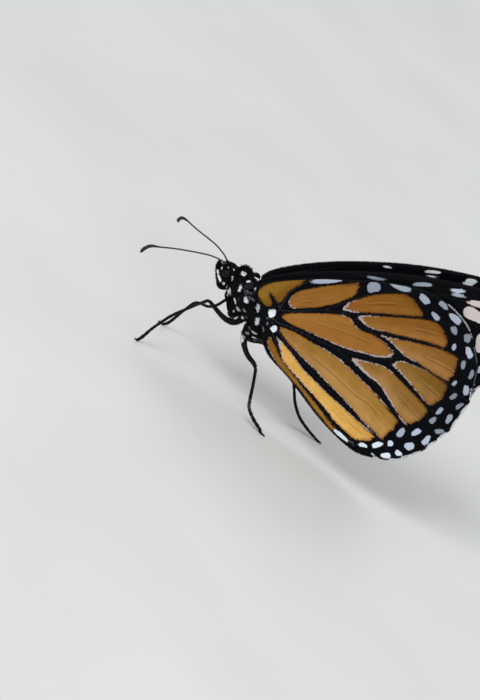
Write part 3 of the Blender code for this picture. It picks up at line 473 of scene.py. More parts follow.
class Graph:
    """A few words for wiring nodes."""

    def __init__(self, name):
        self.mat = bpy.data.materials.new(name)
        self.mat.use_nodes = True
        self.t = self.mat.node_tree
        self.t.nodes.clear()
        self.out = self.t.nodes.new("ShaderNodeOutputMaterial")
        self.bsdf = self.t.nodes.new("ShaderNodeBsdfPrincipled")
        self.t.links.new(self.bsdf.outputs[0], self.out.inputs[0])

    def link(self, a, socket):
        if isinstance(a, (int, float, tuple)):
            socket.default_value = a
        else:
            self.t.links.new(a, socket)

    def set(self, **values):
        for key, v in values.items():
            self.link(v, self.bsdf.inputs[key.replace("_", " ")])

    def attr(self, name):
        n = self.t.nodes.new("ShaderNodeAttribute")
        n.attribute_name = name
        return n.outputs["Fac"]

    def math(self, op, a, b=0.0, c=0.0, clamp=False):
        n = self.t.nodes.new("ShaderNodeMath")
        n.operation, n.use_clamp = op, clamp
        for s, v in zip(n.inputs, (a, b, c)):
            self.link(v, s)
        return n.outputs[0]

    def span(self, v, lo, hi, a=0.0, b=1.0, smooth=True):
        n = self.t.nodes.new("ShaderNodeMapRange")
        n.interpolation_type = 'SMOOTHSTEP' if smooth else 'LINEAR'
        for s, x in zip(n.inputs, (v, lo, hi, a, b)):
            self.link(x, s)
        return n.outputs[0]

    def mix(self, f, a, b, blend='MIX'):
        n = self.t.nodes.new("ShaderNodeMix")
        n.data_type, n.blend_type = 'RGBA', blend
        self.link(f, n.inputs[0])
        self.link(a, n.inputs[6])
        self.link(b, n.inputs[7])
        return n.outputs[2]

    def coords(self, scale=(1, 1, 1), turn=(0, 0, 0)):
        tc = self.t.nodes.new("ShaderNodeTexCoord")
        m = self.t.nodes.new("ShaderNodeMapping")
        m.inputs["Scale"].default_value = scale
        m.inputs["Rotation"].default_value = turn
        self.t.links.new(tc.outputs["Object"], m.inputs["Vector"])
        return m.outputs[0]

    def noise(self, size, detail=2.0, rough=0.5, vector=None):
        """size is the feature size in millimetres."""
        n = self.t.nodes.new("ShaderNodeTexNoise")
        n.inputs["Scale"].default_value = 1.0 / (size * MM)
        n.inputs["Detail"].default_value = detail
        n.inputs["Roughness"].default_value = rough
        self.link(vector if vector is not None else self.coords(), n.inputs["Vector"])
        return n.outputs["Fac"]

    def cells(self, size, feature='F1', vector=None, randomness=1.0):
        n = self.t.nodes.new("ShaderNodeTexVoronoi")
        n.feature = feature
        n.inputs["Scale"].default_value = 1.0 / (size * MM)
        n.inputs["Randomness"].default_value = randomness
        self.link(vector if vector is not None else self.coords(), n.inputs["Vector"])
        return n.outputs["Distance"], (n.outputs["Color"] if feature == 'F1' else None)

    def bump(self, height, strength, distance):
        n = self.t.nodes.new("ShaderNodeBump")
        n.inputs["Strength"].default_value = strength
        n.inputs["Distance"].default_value = distance * MM
        self.link(height, n.inputs["Height"])
        self.t.links.new(n.outputs[0], self.bsdf.inputs["Normal"])


def wing_material():
    g = Graph("wing_scales")
    cell, spot, tone, hue, lower_light = (g.attr(k) for k in ("cell", "spot", "tone", "hue", "lower_light"))
    spot_tone, trim, vein, dorsal, warm = (g.attr(k) for k in ("spot_tone", "trim", "vein", "dorsal", "warm"))
    across, along, far = g.attr("across"), g.attr("along"), g.attr("far")
    fold, fold_end = g.attr("fold"), g.attr("fold_end")
    coarse = g.noise(0.34, 2.0, 0.6)
    fine = g.noise(0.13, 2.0, 0.6)
    cloud = g.noise(2.4, 3.0, 0.55)
    lanes = g.t.nodes.new("ShaderNodeCombineXYZ")
    g.link(g.math('MULTIPLY', across, 0.001), lanes.inputs[0])
    g.link(g.math('MULTIPLY', along, 0.00005), lanes.inputs[1])
    streak = g.noise(0.60, 3.0, 0.6, lanes.outputs[0])
    hair = g.noise(0.20, 2.0, 0.6, lanes.outputs[0])
    ragged = g.math('ADD', g.math('MULTIPLY', g.math('SUBTRACT', coarse, 0.5), 0.55),
                    g.math('MULTIPLY', g.math('SUBTRACT', fine, 0.5), 0.60))
    teeth = g.math('MULTIPLY', g.math('MULTIPLY', g.math('SUBTRACT', hair, 0.5), g.span(far, 0.75, 1.0)), 1.3)
    edge = g.math('ADD', g.math('ADD', cell, ragged), teeth)
    inside = g.span(edge, -0.03, 0.04)
    # ground colour of the cells
    amber = g.mix(tone, srgb(133, 91, 23), srgb(255, 200, 104))
    amber = g.mix(1.0, amber, g.mix(hue, srgb(255, 226, 252), srgb(246, 255, 235)), 'MULTIPLY')
    amber = g.mix(dorsal, amber, srgb(214, 104, 24))
    # each cell is browner on its upper side toward the margin, lighter and pinker on its lower side: painted shade on
    # the upper side and painted light on the lower side
    side = g.math('ADD', across, g.math('MULTIPLY', g.math('SUBTRACT', cloud, 0.5), 1.6))
    below = g.span(side, -1.3, 0.9, 1.0, 0.0)
    gold = g.mix(far, g.mix(1.0, amber, srgb(252, 252, 246), 'MULTIPLY'), g.mix(1.0, amber, srgb(232, 230, 220), 'MULTIPLY'))
    gold = g.mix(g.math('MULTIPLY', lower_light, 0.10), gold, srgb(214, 172, 150))
    rose = g.mix(g.math('MULTIPLY', g.math('ADD', lower_light, 0.05), 0.26), g.mix(0.07, amber, srgb(246, 192, 112)), srgb(216, 172, 148))
    amber = g.mix(below, gold, rose)
    # painted shade on the lower side, where the cell's lower-side light is below 0
    lower_shade = g.math('MULTIPLY', below, g.span(lower_light, -1.0, 0.0, 1.0, 0.0, smooth=False))
    amber = g.mix(lower_shade, amber, g.mix(1.0, amber, srgb(205, 186, 150), 'MULTIPLY'))
    amber = g.mix(g.math('MULTIPLY', g.span(streak, 0.38, 0.68), 0.40), amber,
                  g.mix(1.0, amber, srgb(222, 214, 198), 'MULTIPLY'))
    amber = g.mix(g.math('MULTIPLY', g.span(hair, 0.40, 0.72), 0.26), amber,
                  g.mix(1.0, amber, srgb(226, 218, 205), 'MULTIPLY'))
    amber = g.mix(g.math('MULTIPLY', g.span(fine, 0.32, 0.68), 0.20), amber,
                  g.mix(1.0, amber, srgb(214, 208, 198), 'MULTIPLY'))
    amber = g.mix(g.math('MULTIPLY', g.span(cloud, 0.36, 0.64), 0.45), amber,
                  g.mix(1.0, amber, srgb(234, 226, 210), 'MULTIPLY'))
    # browner against the black, most of all at the outer end
    rim = g.span(edge, 0.0, g.span(far, 0.7, 1.0, 0.35, 0.75), 0.60, 0.0)
    amber = g.mix(rim, amber, g.mix(1.0, amber, srgb(190, 158, 126), 'MULTIPLY'))
    # creases: a dark line of painted shade with a lighter line of painted highlight above it
    line = g.math('ADD', fold, g.math('MULTIPLY', g.math('SUBTRACT', streak, 0.5), 0.08))
    ends = g.math('MULTIPLY', fold_end, g.span(cell, 0.05, 0.5))
    shade = g.math('MULTIPLY', g.span(g.math('ABSOLUTE', line), 0.02, 0.20, 0.44, 0.0), ends)
    amber = g.mix(shade, amber, g.mix(1.0, amber, srgb(182, 152, 118), 'MULTIPLY'))
    crease_highlight = g.math('MULTIPLY', g.span(g.math('ABSOLUTE', g.math('SUBTRACT', line, 0.32)), 0.02, 0.24, 0.30, 0.0), ends)
    amber = g.mix(crease_highlight, amber, g.mix(0.30, amber, srgb(250, 206, 136)))
    # pale scales that line the cells along the veins
    reach = g.math('ADD', g.math('MULTIPLY', trim, 0.62), g.math('MULTIPLY', g.math('SUBTRACT', coarse, 0.56), 1.10))
    reach = g.math('ADD', reach, g.math('MULTIPLY', g.math('SUBTRACT', fine, 0.5), 0.90))
    pale = g.span(g.math('SUBTRACT', reach, cell), -0.02, 0.12)
    pale = g.math('MULTIPLY', pale, g.span(trim, 0.03, 0.16))
    pale = g.math('MULTIPLY', pale, inside)
    pale = g.math('MULTIPLY', pale, g.math('SUBTRACT', 0.88, g.math('MULTIPLY', dorsal, 0.88)), clamp=True)
    # black scales
    black = g.mix(g.span(cloud, 0.3, 0.7), srgb(5, 5, 7), srgb(6, 8, 15))
    black = g.mix(g.math('MULTIPLY', g.span(fine, 0.45, 0.75), 0.35), black, srgb(17, 17, 21))
    # a painted grey highlight along the centre of the veins, brighter near the root
    black = g.mix(g.span(vein, 0.03, 0.13, 0.45, 0.0), black, g.mix(g.attr("root"), srgb(38, 38, 41), srgb(96, 97, 100)))
    colour = g.mix(inside, black, amber)
    colour = g.mix(pale, colour, srgb(188, 180, 182))
    # white spots; their whiteness is kept as a display value, so it is bent to light. The greyer marks carry painted
    # shade in that whiteness.
    mark = g.span(g.math('ADD', spot, g.math('MULTIPLY', ragged, 0.45)), -0.04, 0.05)
    bright = g.math('POWER', spot_tone, 2.2)
    top = g.span(bright, 0.70, 0.98)
    bright = g.math('MULTIPLY', bright, g.math('SUBTRACT', 1.125, g.math('MULTIPLY', top, 0.125)))
    white = g.mix(bright, srgb(11, 19, 34), g.mix(top, srgb(226, 238, 255), srgb(242, 251, 255)))
    white = g.mix(g.math('MULTIPLY', warm, 0.9), white, g.mix(1.0, white, srgb(255, 226, 206), 'MULTIPLY'))
    white = g.mix(g.math('MULTIPLY', g.span(fine, 0.35, 0.68), 0.26), white,
                  g.mix(1.0, white, srgb(200, 208, 222), 'MULTIPLY'))
    colour = g.mix(mark, colour, white)
    g.set(Base_Color=colour, Roughness=g.span(fine, 0.2, 0.8, 0.50, 0.66), Specular_IOR_Level=0.05)
    scale_d, _ = g.cells(0.13)
    height = g.math('ADD', g.math('MULTIPLY', scale_d, 0.5), g.math('MULTIPLY', coarse, 0.6))
    height = g.math('ADD', height, g.math('MULTIPLY', g.span(g.math('ABSOLUTE', line), 0.0, 0.25, -1.2, 0.0), ends))
    height = g.math('ADD', height, g.math('MULTIPLY', streak, 1.0))
    g.bump(height, 0.40, 0.035)
    return g.mat


def coat_material(name, dark=(8, 7, 7), tip=(24, 23, 25), bright=(248, 250, 254), spec=0.14):
    """Fur and scales: the attribute white paints the marks, and on the legs also the painted highlights; along runs
    from root to tip.
    """
    g = Graph(name)
    white, along, shade = g.attr("white"), g.attr("along"), g.attr("shade")
    fine = g.noise(0.10, 2.0, 0.6)
    black = g.mix(g.span(along, 0.2, 1.0), srgb(*dark), srgb(*tip))
    black = g.mix(g.span(shade, 0.0, 1.0, smooth=False), black, g.mix(1.0, black, srgb(150, 150, 160), 'MULTIPLY'))
    pale = g.mix(g.span(shade, 0.0, 1.0, 0.0, 0.30, smooth=False), srgb(*bright), srgb(196, 203, 216))
    grey = g.mix(g.span(white, 0.25, 1.0, smooth=False), srgb(96, 98, 104), pale)
    colour = g.mix(g.span(white, 0.12, 0.24), black, grey)
    colour = g.mix(g.math('MULTIPLY', g.span(fine, 0.35, 0.75), 0.35), colour,
                   g.mix(1.0, colour, srgb(176, 178, 186), 'MULTIPLY'))
    g.set(Base_Color=colour, Roughness=g.span(fine, 0.2, 0.8, 0.42, 0.62), Specular_IOR_Level=spec)
    g.bump(fine, 0.25, 0.02)
    return g.mat


def shell_material(name, base, other, rough=(0.22, 0.38), size=0.4, coat=0.0, spec=0.5, strength=0.3, depth=0.03):
    g = Graph(name)
    cloud, fine = g.noise(size * 3, 3.0, 0.6), g.noise(size * 0.4, 2.0, 0.6)
    colour = g.mix(g.span(cloud, 0.3, 0.7), srgb(*base), srgb(*other))
    colour = g.mix(g.math('MULTIPLY', g.span(fine, 0.4, 0.8), 0.4), colour, g.mix(1.0, colour, srgb(150, 150, 158), 'MULTIPLY'))
    if name == "leg_shell":
        colour = g.mix(g.span(g.attr("white"), 0.2, 0.6), colour, srgb(206, 211, 220))
    if name == "sclerite_shell":
        # the wing-base plates: a dark blue-black dish; on the tegula the pale rim is a painted highlight, brightest on
        # its upper front, and on the hinge plates the pale grey lies in uneven patches
        rim = g.attr("rim")
        colour = g.mix(g.span(g.math('ADD', rim, g.math('MULTIPLY', g.math('SUBTRACT', fine, 0.5), 0.5)), 0.55, 0.95), colour,
                       srgb(98, 99, 110))
    g.set(Base_Color=colour, Roughness=g.span(fine, 0.2, 0.8, rough[0], rough[1]), Specular_IOR_Level=spec)
    g.bsdf.inputs["Coat Weight"].default_value = coat
    g.bsdf.inputs["Coat Roughness"].default_value = 0.12
    g.bump(g.math('ADD', fine, cloud), strength, depth)
    return g.mat


def eye_material():
    g = Graph("eye_facets")
    dist, _ = g.cells(0.075, 'DISTANCE_TO_EDGE', randomness=0.35)
    cloud = g.noise(0.7, 2.0, 0.5)
    colour = g.mix(g.span(cloud, 0.3, 0.75), srgb(9, 9, 9), srgb(16, 16, 16))
    colour = g.mix(g.span(dist, 0.0, 0.12, 0.6, 0.0), colour, srgb(5, 5, 5))
    g.set(Base_Color=colour, Roughness=g.span(dist, 0.0, 0.15, 0.42, 0.26), Specular_IOR_Level=0.12)
    g.bsdf.inputs["Coat Weight"].default_value = 0.03
    g.bsdf.inputs["Coat Roughness"].default_value = 0.16
    g.bump(g.span(dist, 0.0, 0.25), 0.5, 0.02)
    return g.mat


def antenna_material():
    g = Graph("antenna_rings")
    club, ring = g.attr("club"), g.attr("ring")
    fine = g.noise(0.12, 2.0, 0.6)
    colour = g.mix(g.span(ring, 0.2, 0.8), srgb(38, 30, 20), srgb(62, 50, 30))
    colour = g.mix(g.span(club, 0.1, 0.6), colour, srgb(18, 15, 13))
    colour = g.mix(g.math('MULTIPLY', g.span(fine, 0.4, 0.75), 0.5), colour, g.mix(1.0, colour, srgb(150, 148, 142), 'MULTIPLY'))
    g.set(Base_Color=colour, Roughness=g.span(fine, 0.2, 0.8, 0.38, 0.58), Specular_IOR_Level=0.40)
    g.bump(fine, 0.3, 0.02)
    return g.mat


WING = wing_material()
FUR = coat_material("body_fur")
SKIN = coat_material("body_skin", dark=(7, 6, 6), tip=(9, 8, 8), bright=(222, 226, 232))
LEG_SCALES = coat_material("leg_scales", dark=(6, 5, 5), tip=(12, 12, 15), spec=0.07)
LEG = shell_material("leg_shell", (7, 6, 6), (12, 11, 13), rough=(0.34, 0.50), size=0.35, spec=0.14)
CLAW = shell_material("claw_horn", (40, 24, 14), (22, 15, 11), rough=(0.18, 0.3), size=0.2)
PLATE = shell_material("sclerite_shell", (7, 7, 12), (19, 19, 27), rough=(0.28, 0.46), size=0.30, coat=0.04, spec=0.2, strength=0.6)
TONGUE = shell_material("tongue_shell", (30, 24, 20), (48, 38, 30), rough=(0.28, 0.42), size=0.2)
EYE = eye_material()
ANTENNA = antenna_material()


def finish_piece(ob, material, slot, *nodes):
    ob.data.materials.clear()
    ob.data.materials.append(material)
    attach(ob, "root")
    if nodes:
        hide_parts(*nodes)
    return ob


# ---- tufts -------------------------------------------------------------------
def tufts(name, root, normal, lay, length, width, lift, white, shade, uv, material, slot,
          thick=0.35, bend=0.5, long=False):
    """Closed tapered vanes that lie over the skin. All arguments are per tuft."""
    n = len(root)
    lay = unit(lay - normal * (lay * normal).sum(1)[:, None])
    side = np.cross(normal, lay)
    stations = ((0.0, 0.55), (0.42, 1.0), (0.78, 0.62)) if long else ((0.0, 0.6), (0.5, 1.0))
    rows = []
    for s, w in stations:
        # rises at the root, then bends back along the lay
        up = np.sin(lift) * s * (1 - bend * s)
        c = root + lay * (length * s * np.cos(lift))[:, None] + normal * (length * up - 0.05 * (1 - s))[:, None]
        half = (width * 0.5 * w)[:, None]
        rows += [c - side * half, c + side * half, c + normal * half * 2 * thick]
    s = 1.0
    tip = root + lay * (length * np.cos(lift))[:, None] + normal * (length * np.sin(lift) * (1 - bend))[:, None]
    k = len(stations)
    verts = np.stack(rows + [tip], 1)                      # n, 3k+1, 3
    quads = []
    for r in range(k - 1):
        a, b = 3 * r, 3 * (r + 1)
        for i, j in ((0, 1), (1, 2), (2, 0)):
            quads += [(a + i, b + i, b + j), (a + i, b + j, a + j)]
    e = 3 * (k - 1)
    t = 3 * k
    quads += [(e, t, e + 1), (e + 1, t, e + 2), (e + 2, t, e), (0, 1, 2)]
    local = np.array(quads)
    # vertex order puts the faces outwards when side x lay points away from the skin
    faces = (local[None] + (np.arange(n) * (t + 1))[:, None, None]).reshape(-1, 3)
    along = np.array([st[0] for st in stations for _ in range(3)] + [1.0])
    du = np.array([v for _ in stations for v in (-1.0, 1.0, 0.0)] + [0.0])
    dv = np.array([st[0] * 2 - 1 + (0.0, 0.0, -0.25)[i] for st in stations for i in range(3)] + [1.0])
    patch = np.stack([du, dv], 1) * 0.0015
    uvs = np.clip(uv, 0.004, 0.996)[:, None, :] + patch[None]
    flat = verts.reshape(-1, 3)
    ob = make_object(name, flat, faces, smooth=True, uv=uvs.reshape(-1, 2), data={
        "white": np.repeat(white, t + 1), "shade": np.repeat(shade, t + 1),
        "along": np.tile(along, n)})
    # check the winding once on the whole piece
    me = ob.data
    p = flat[faces]
    volume = np.einsum('ij,ij->i', p[:, 0], np.cross(p[:, 1], p[:, 2])).sum()
    if volume < 0:
        me.flip_normals()
    return finish_piece(ob, material, slot)


# ---- wings -------------------------------------------------------------------
def margin(points, depth, step):
    """The blade's outline, drawn in by the width of the fringe."""
    n = len(points)
    curve = []
    for i in range(n):
        a, b = points[i], points[(i + 1) % n]
        steps = 14
        q = [np.array(points[(i + k - 1) % n][:2], float) for k in range(4)]
        for j in range(steps):
            t = j / steps
            p = 0.5 * (2 * q[1] + (q[2] - q[0]) * t + (2 * q[0] - 5 * q[1] + 4 * q[2] - q[3]) * t * t
                       + (3 * q[1] - q[0] - 3 * q[2] + q[3]) * t ** 3)
            if a[2] and b[2]:
                chord = unit(q[2] - q[1])
                p = p + np.array((chord[1], -chord[0])) * depth * math.sin(math.pi * t)
            curve.append(p)
    c = even(np.array(curve), step, closed=True)
    for _ in range(2):
        tangent = unit(np.roll(c, -1, 0) - np.roll(c, 1, 0))
        c = c + np.stack([tangent[:, 1], -tangent[:, 0]], 1) * WING_INSET / 2
        c = even(c, step, closed=True)
    return c


BASE = np.array((-2.5, 18.2))


def midline(poly, count=14):
    """Line along the middle of a long cell."""
    c = poly.mean(0)
    w, v = np.linalg.eigh(np.cov((poly - c).T))
    d = v[:, 1]
    e = np.array((-d[1], d[0]))
    s = (poly - c) @ d
    o = (poly - c) @ e
    out = []
    for at in np.linspace(s.min() + 0.10 * np.ptp(s), s.max() - 0.06 * np.ptp(s), count):
        cuts = []
        for i in range(len(poly)):
            j = (i + 1) % len(poly)
            if (s[i] > at) != (s[j] > at):
                cuts.append(o[i] + (o[j] - o[i]) * (at - s[i]) / (s[j] - s[i]))
        if len(cuts) >= 2:
            out.append(c + d * at + e * (min(cuts) + max(cuts)) / 2)
    if np.hypot(*(out[0] - BASE)) > np.hypot(*(out[-1] - BASE)):
        out = out[::-1]
    return catmull(out, 3)


def marks_field(points, marks, grow=0.0):
    """Signed distance and whiteness of the nearest mark; each has a slightly uneven edge."""
    best = np.full(len(points), -9.0)
    tone = np.full(len(points), 0.6)
    for i, (x, z, a, b, turn, white) in enumerate(marks):
        r = math.radians(turn)
        d = points - (x, z)
        u = d[:, 0] * math.cos(r) + d[:, 1] * math.sin(r)
        v = -d[:, 0] * math.sin(r) + d[:, 1] * math.cos(r)
        ang = np.arctan2(v / b, u / a)
        wobble = 1 + 0.05 * np.sin(2 * ang + i * 1.7) + 0.07 * np.sin(3 * ang + i * 2.9) + 0.03 * np.sin(5 * ang + i)
        q = (np.abs(u / a) ** 2.6 + np.abs(v / b) ** 2.6) ** (1 / 2.6) / wobble
        s = (1 - q) * min(a, b) + grow
        tone = np.where(s > best, white, tone)
        best = np.maximum(best, s)
    return best, tone


def marginal_rows(curve, tips, rows, sizes, lo=0.18, hi=0.82):
    """Small white spots in pairs between the vein tips."""
    out = []
    tips = np.array(tips, float)
    for a, b in zip(tips, tips[1:]):
        d = unit(b - a)
        inward = np.array((d[1], -d[0]))
        gap = np.linalg.norm(b - a)
        for row, (size, flat) in zip(rows, sizes):
            for t in (0.28, 0.72):
                c = a + (b - a) * t + inward * row
                turn = math.degrees(math.atan2(d[1], d[0]))
                out.append((c[0], c[1], size * min(1.0, gap / 5.0), flat, turn, 0.78))
    return out


def lengthwise(points, line):
    """Signed distance across a line, and length along it, for each point."""
    best = np.full(len(points), 1e9)
    across = np.zeros(len(points))
    along = np.zeros(len(points))
    run = 0.0
    for i in range(len(line) - 1):
        a, b = line[i], line[i + 1]
        ab = b - a
        size = np.linalg.norm(ab)
        u = ab / size
        w = (points - a) @ u
        t = np.clip(w, -1e9 if i == 0 else 0.0, 1e9 if i == len(line) - 2 else size)
        off = points - a - t[:, None] * u
        d = np.linalg.norm(off, axis=1)
        side = u[0] * (points - a)[:, 1] - u[1] * (points - a)[:, 0]
        near = d < best
        best = np.where(near, d, best)
        across = np.where(near, np.sign(side) * d, across)
        along = np.where(near, run + t, along)
        run += size
    return across, along


def run_width(points, runs):
    """Width of pale scales near a run of (x, z, width) points, fading off sideways."""
    out = np.zeros(len(points))
    for run in runs:
        for (ax, az, aw), (bx, bz, bw) in zip(run, run[1:]):
            a, ab = np.array((ax, az)), np.array((bx - ax, bz - az))
            t = np.clip(((points - a) @ ab) / max(ab @ ab, 1e-9), 0, 1)
            d = np.linalg.norm(points - a - t[:, None] * ab, axis=1)
            out = np.maximum(out, (aw + (bw - aw) * t) * np.exp(-(np.maximum(d - 0.45, 0) / 0.45) ** 2))
    return out


def wing_fields(points, cells, marks, veins, creases, grow_cells, grow_marks):
    names = ("tone", "hue", "lower_light", "across", "along", "far", "trim")
    out = {k: np.zeros(len(points)) for k in names}
    cell = np.full(len(points), -9.0)
    for k, (name, (light, poly)) in enumerate(cells.items()):
        r = rounded(poly, 2, 0.11)
        own = cells is HINDWING_CELLS
        light, hue, hue_end, lower_light, grow, light_end = HINDWING_TINTS[name] if own else (light, 0.6, 0.6, 0.2, 0.13, light)
        d = signed(points, r) + grow_cells + grow
        won = d > cell
        line = midline(r)
        a, b = lengthwise(points, line)
        size = np.linalg.norm(np.diff(line, axis=0), axis=1).sum()
        trim = run_width(points, HINDWING_TRIM.get(name, ())) if own else 0.06 + 0 * a
        for key, v in zip(names, (light + (light_end - light) * np.clip(b / size, 0, 1) ** 1.3, hue + (hue_end - hue) * np.clip(b / size, 0, 1), lower_light + 0 * a, a, b + 37.0 * k, np.clip(b / size, 0, 1), trim)):
            out[key] = np.where(won, v, out[key])
        cell = np.maximum(cell, d)
    spot, spot_tone = marks_field(points, marks, grow_marks)
    vein = np.full(len(points), 9.0)
    for line in veins.values():
        vein = np.minimum(vein, to_segments(points, catmull(line, 5), False))
    fold = np.full(len(points), 9.0)
    fold_end = np.zeros(len(points))
    for line in creases:
        c = catmull(np.array(line, float), 5)
        size = np.linalg.norm(np.diff(c, axis=0), axis=1).sum()
        a, b = lengthwise(points, c)
        near = np.abs(a) < np.abs(fold)
        near &= (b > -1.0) & (b < size + 1.0)
        fold = np.where(near, a, fold)
        fold_end = np.where(near, ease(b / 3.0) * (1 - ease((b - size + 0.8) / 0.8)), fold_end)
    out.update({"cell": cell, "spot": spot, "spot_tone": spot_tone, "vein": vein, "fold": fold, "fold_end": fold_end,
                "root": np.exp(-(np.hypot(points[:, 0] - 1.0, points[:, 1] - 18.0) / 9.0) ** 2)})
    return out


def wing_net(points, depth, step):
    """Even triangles inside the drawn-in outline."""
    rim = margin(points, depth, step)
    lo, hi = rim.min(0), rim.max(0)
    rows = np.arange(lo[1], hi[1], step * 0.866)
    grid = []
    for k, z in enumerate(rows):
        x = np.arange(lo[0] + (step / 2 if k % 2 else 0), hi[0], step)
        grid.append(np.stack([x, np.full(len(x), z)], 1))
    grid = np.vstack(grid)
    grid = grid[within(grid, rim)]
    grid = grid[to_segments(grid, rim, True) > 0.62 * step]
    coords = np.vstack([rim, grid])
    edges = [(i, (i + 1) % len(rim)) for i in range(len(rim))]
    v, _, f, _, _, _ = delaunay_2d_cdt([Vector(p) for p in coords], edges, [], 1, 1e-7)
    return np.array([tuple(p) for p in v]), np.array([tuple(g) for g in f]), len(rim)


def build_wing(label, points, depth, cells, marks, dorsal_marks, veins, creases, y_mid, warm, step=0.27):
    """Both wings of a pair: the same net mirrored, with an outer and an inner face."""
    net, tri, rim = wing_net(points, depth, step)
    x, z = net[:, 0], net[:, 1]
    area = ((net[tri[:, 1], 0] - net[tri[:, 0], 0]) * (net[tri[:, 2], 1] - net[tri[:, 0], 1])
            - (net[tri[:, 2], 0] - net[tri[:, 0], 0]) * (net[tri[:, 1], 1] - net[tri[:, 0], 1]))
    tri = np.where((area > 0)[:, None], tri, tri[:, ::-1])
    under = wing_fields(net, cells, marks, veins, creases, 0.0, 0.0)
    upper = wing_fields(net, cells, dorsal_marks, veins, creases, 0.12, -0.04)
    rim_d = to_segments(net, net[:rim], True)
    root = np.exp(-(np.hypot(x + 1.5, z - 19.5) / 7.0) ** 2)
    ridge = np.exp(-(under["vein"] / 0.17) ** 2) * (0.55 + 0.45 * np.clip(1.2 - np.hypot(x, z - 18) / 45, 0, 1))
    half = 0.105 + 0.125 * ridge + 0.03 * root
    half = half * (0.35 + 0.65 * ease(rim_d / 0.45))
    crease = np.exp(-(under["fold"] / 0.45) ** 2) * under["fold_end"] * ease(under["cell"] / 0.5)
    pleat = 0.05 * np.exp(-(under["vein"] / 0.8) ** 2) - 0.055 * crease
    mid = y_mid + lean(x, z) + pleat * ease(rim_d / 1.0)
    lo, hi = net.min(0), net.max(0)
    uv = (net - lo) / (hi - lo)
    made = {}
    for side, sign in (("left", -1), ("right", 1)):
        outer = np.stack([x, sign * (mid + half), z], 1)
        inner = np.stack([x, sign * (mid - half), z], 1)
        n = len(net)
        # triangles wind so that their normal is -Y; the face on the +Y side is turned
        if sign < 0:
            f_out, f_in = tri, tri[:, ::-1] + n
        else:
            f_out, f_in = tri[:, ::-1], tri + n
        # the rim runs round the blade; its direction decides the winding
        ring = np.arange(rim)
        nxt = (ring + 1) % rim
        loop = net[:rim]
        turn = (loop[:, 0] * np.roll(loop[:, 1], -1) - np.roll(loop[:, 0], -1) * loop[:, 1]).sum()
        a, b = (ring, nxt) if (turn > 0) == (sign < 0) else (nxt, ring)
        f_rim = np.stack([b, a, a + n, b + n], 1)
        faces = f_out.tolist() + f_in.tolist() + f_rim.tolist()
        uv_out = np.stack([0.005 + 0.485 * uv[:, 0], 0.01 + 0.98 * uv[:, 1]], 1)
        uv_in = uv_out + (0.5, 0.0)
        tangent = unit(np.roll(loop, -1, 0) - np.roll(loop, 1, 0)) * (1 if turn > 0 else -1)
        off = np.stack([tangent[:, 1], -tangent[:, 0]], 1)
        uv_rim = uv_out[:rim] + off * (0.002, 0.004)
        loops = [uv_out[f_out.ravel()], uv_in[f_in.ravel() - n]]
        quad = np.stack([uv_out[b], uv_out[a], uv_rim[a], uv_rim[b]], 1)
        loops.append(quad.reshape(-1, 2))
        data = {}
        for key in under:
            data[key] = np.r_[under[key], upper[key]]
        data["tone"] = np.r_[under["tone"], 0.6 + 0 * x]
        data["warm"] = np.r_[warm(net), warm(net)]
        data["dorsal"] = np.r_[0 * x, 0 * x + 1]
        ob = make_object(f"{label}_{side}_blade", np.vstack([outer, inner]), faces, data=data,
                         uv_loops=np.clip(np.vstack(loops), 0.0, 1.0))
        made[side] = finish_piece(ob, WING, "wing", f"{label}_{side}")
    return made, net, rim, mid, under


fore_tips = ((38.9, 48.0), (40.2, 46.0), (39.75, 41.6), (38.95, 36.6), (37.9, 31.2), (36.5, 25.9), (34.6, 21.3), (32.8, 19.7))
fore_rows = marginal_rows(None, fore_tips, (1.15, 2.55), ((0.62, 0.36), (0.80, 0.48)))
hind_dorsal = [(x, z, a * 0.8, b * 0.8, t, min(1.0, w + 0.1)) for x, z, a, b, t, w in HINDWING_MARKS[3:31]]
fore_marks = list(FOREWING_MARKS + FOREWING_PATCHES) + fore_rows
fore_upper = list(FOREWING_UPPER_MARKS + FOREWING_PATCHES) + fore_rows

dash_marks = []
for a, b in HINDWING_DASHES:
    a, b = np.array(a), np.array(b)
    d = b - a
    c = (a + b) / 2
    n2 = unit(np.array((d[1], -d[0])))
    n2 = n2 * (1 if n2 @ (np.array((18.0, 22.0)) - c) > 0 else -1)
    if c[1] < 31.0:
        c = c + n2 * 0.22
        dash_marks.append((c[0], c[1], np.linalg.norm(d) / 2 * 0.9, 0.15, math.degrees(math.atan2(d[1], d[0])), 0.95))
hind_marks = list(HINDWING_MARKS) + dash_marks
hind_dorsal += dash_marks
hind, hind_net, hind_rim, hind_mid, hind_under = build_wing(
    "hindwing", HINDWING, 0.22, HINDWING_CELLS, hind_marks, hind_dorsal, HINDWING_VEINS,
    HINDWING_CREASES, HINDWING_Y, lambda p: 0 * p[:, 0])
fore, fore_net, fore_rim, fore_mid, fore_under = build_wing(
    "forewing", FOREWING, 0.16, FOREWING_CELLS, fore_marks, fore_upper, FOREWING_VEINS,
    FOREWING_CREASES, FOREWING_Y,
    lambda p: (marks_field(p, FOREWING_PATCHES)[0] > -0.5) * 1.0, step=0.30)


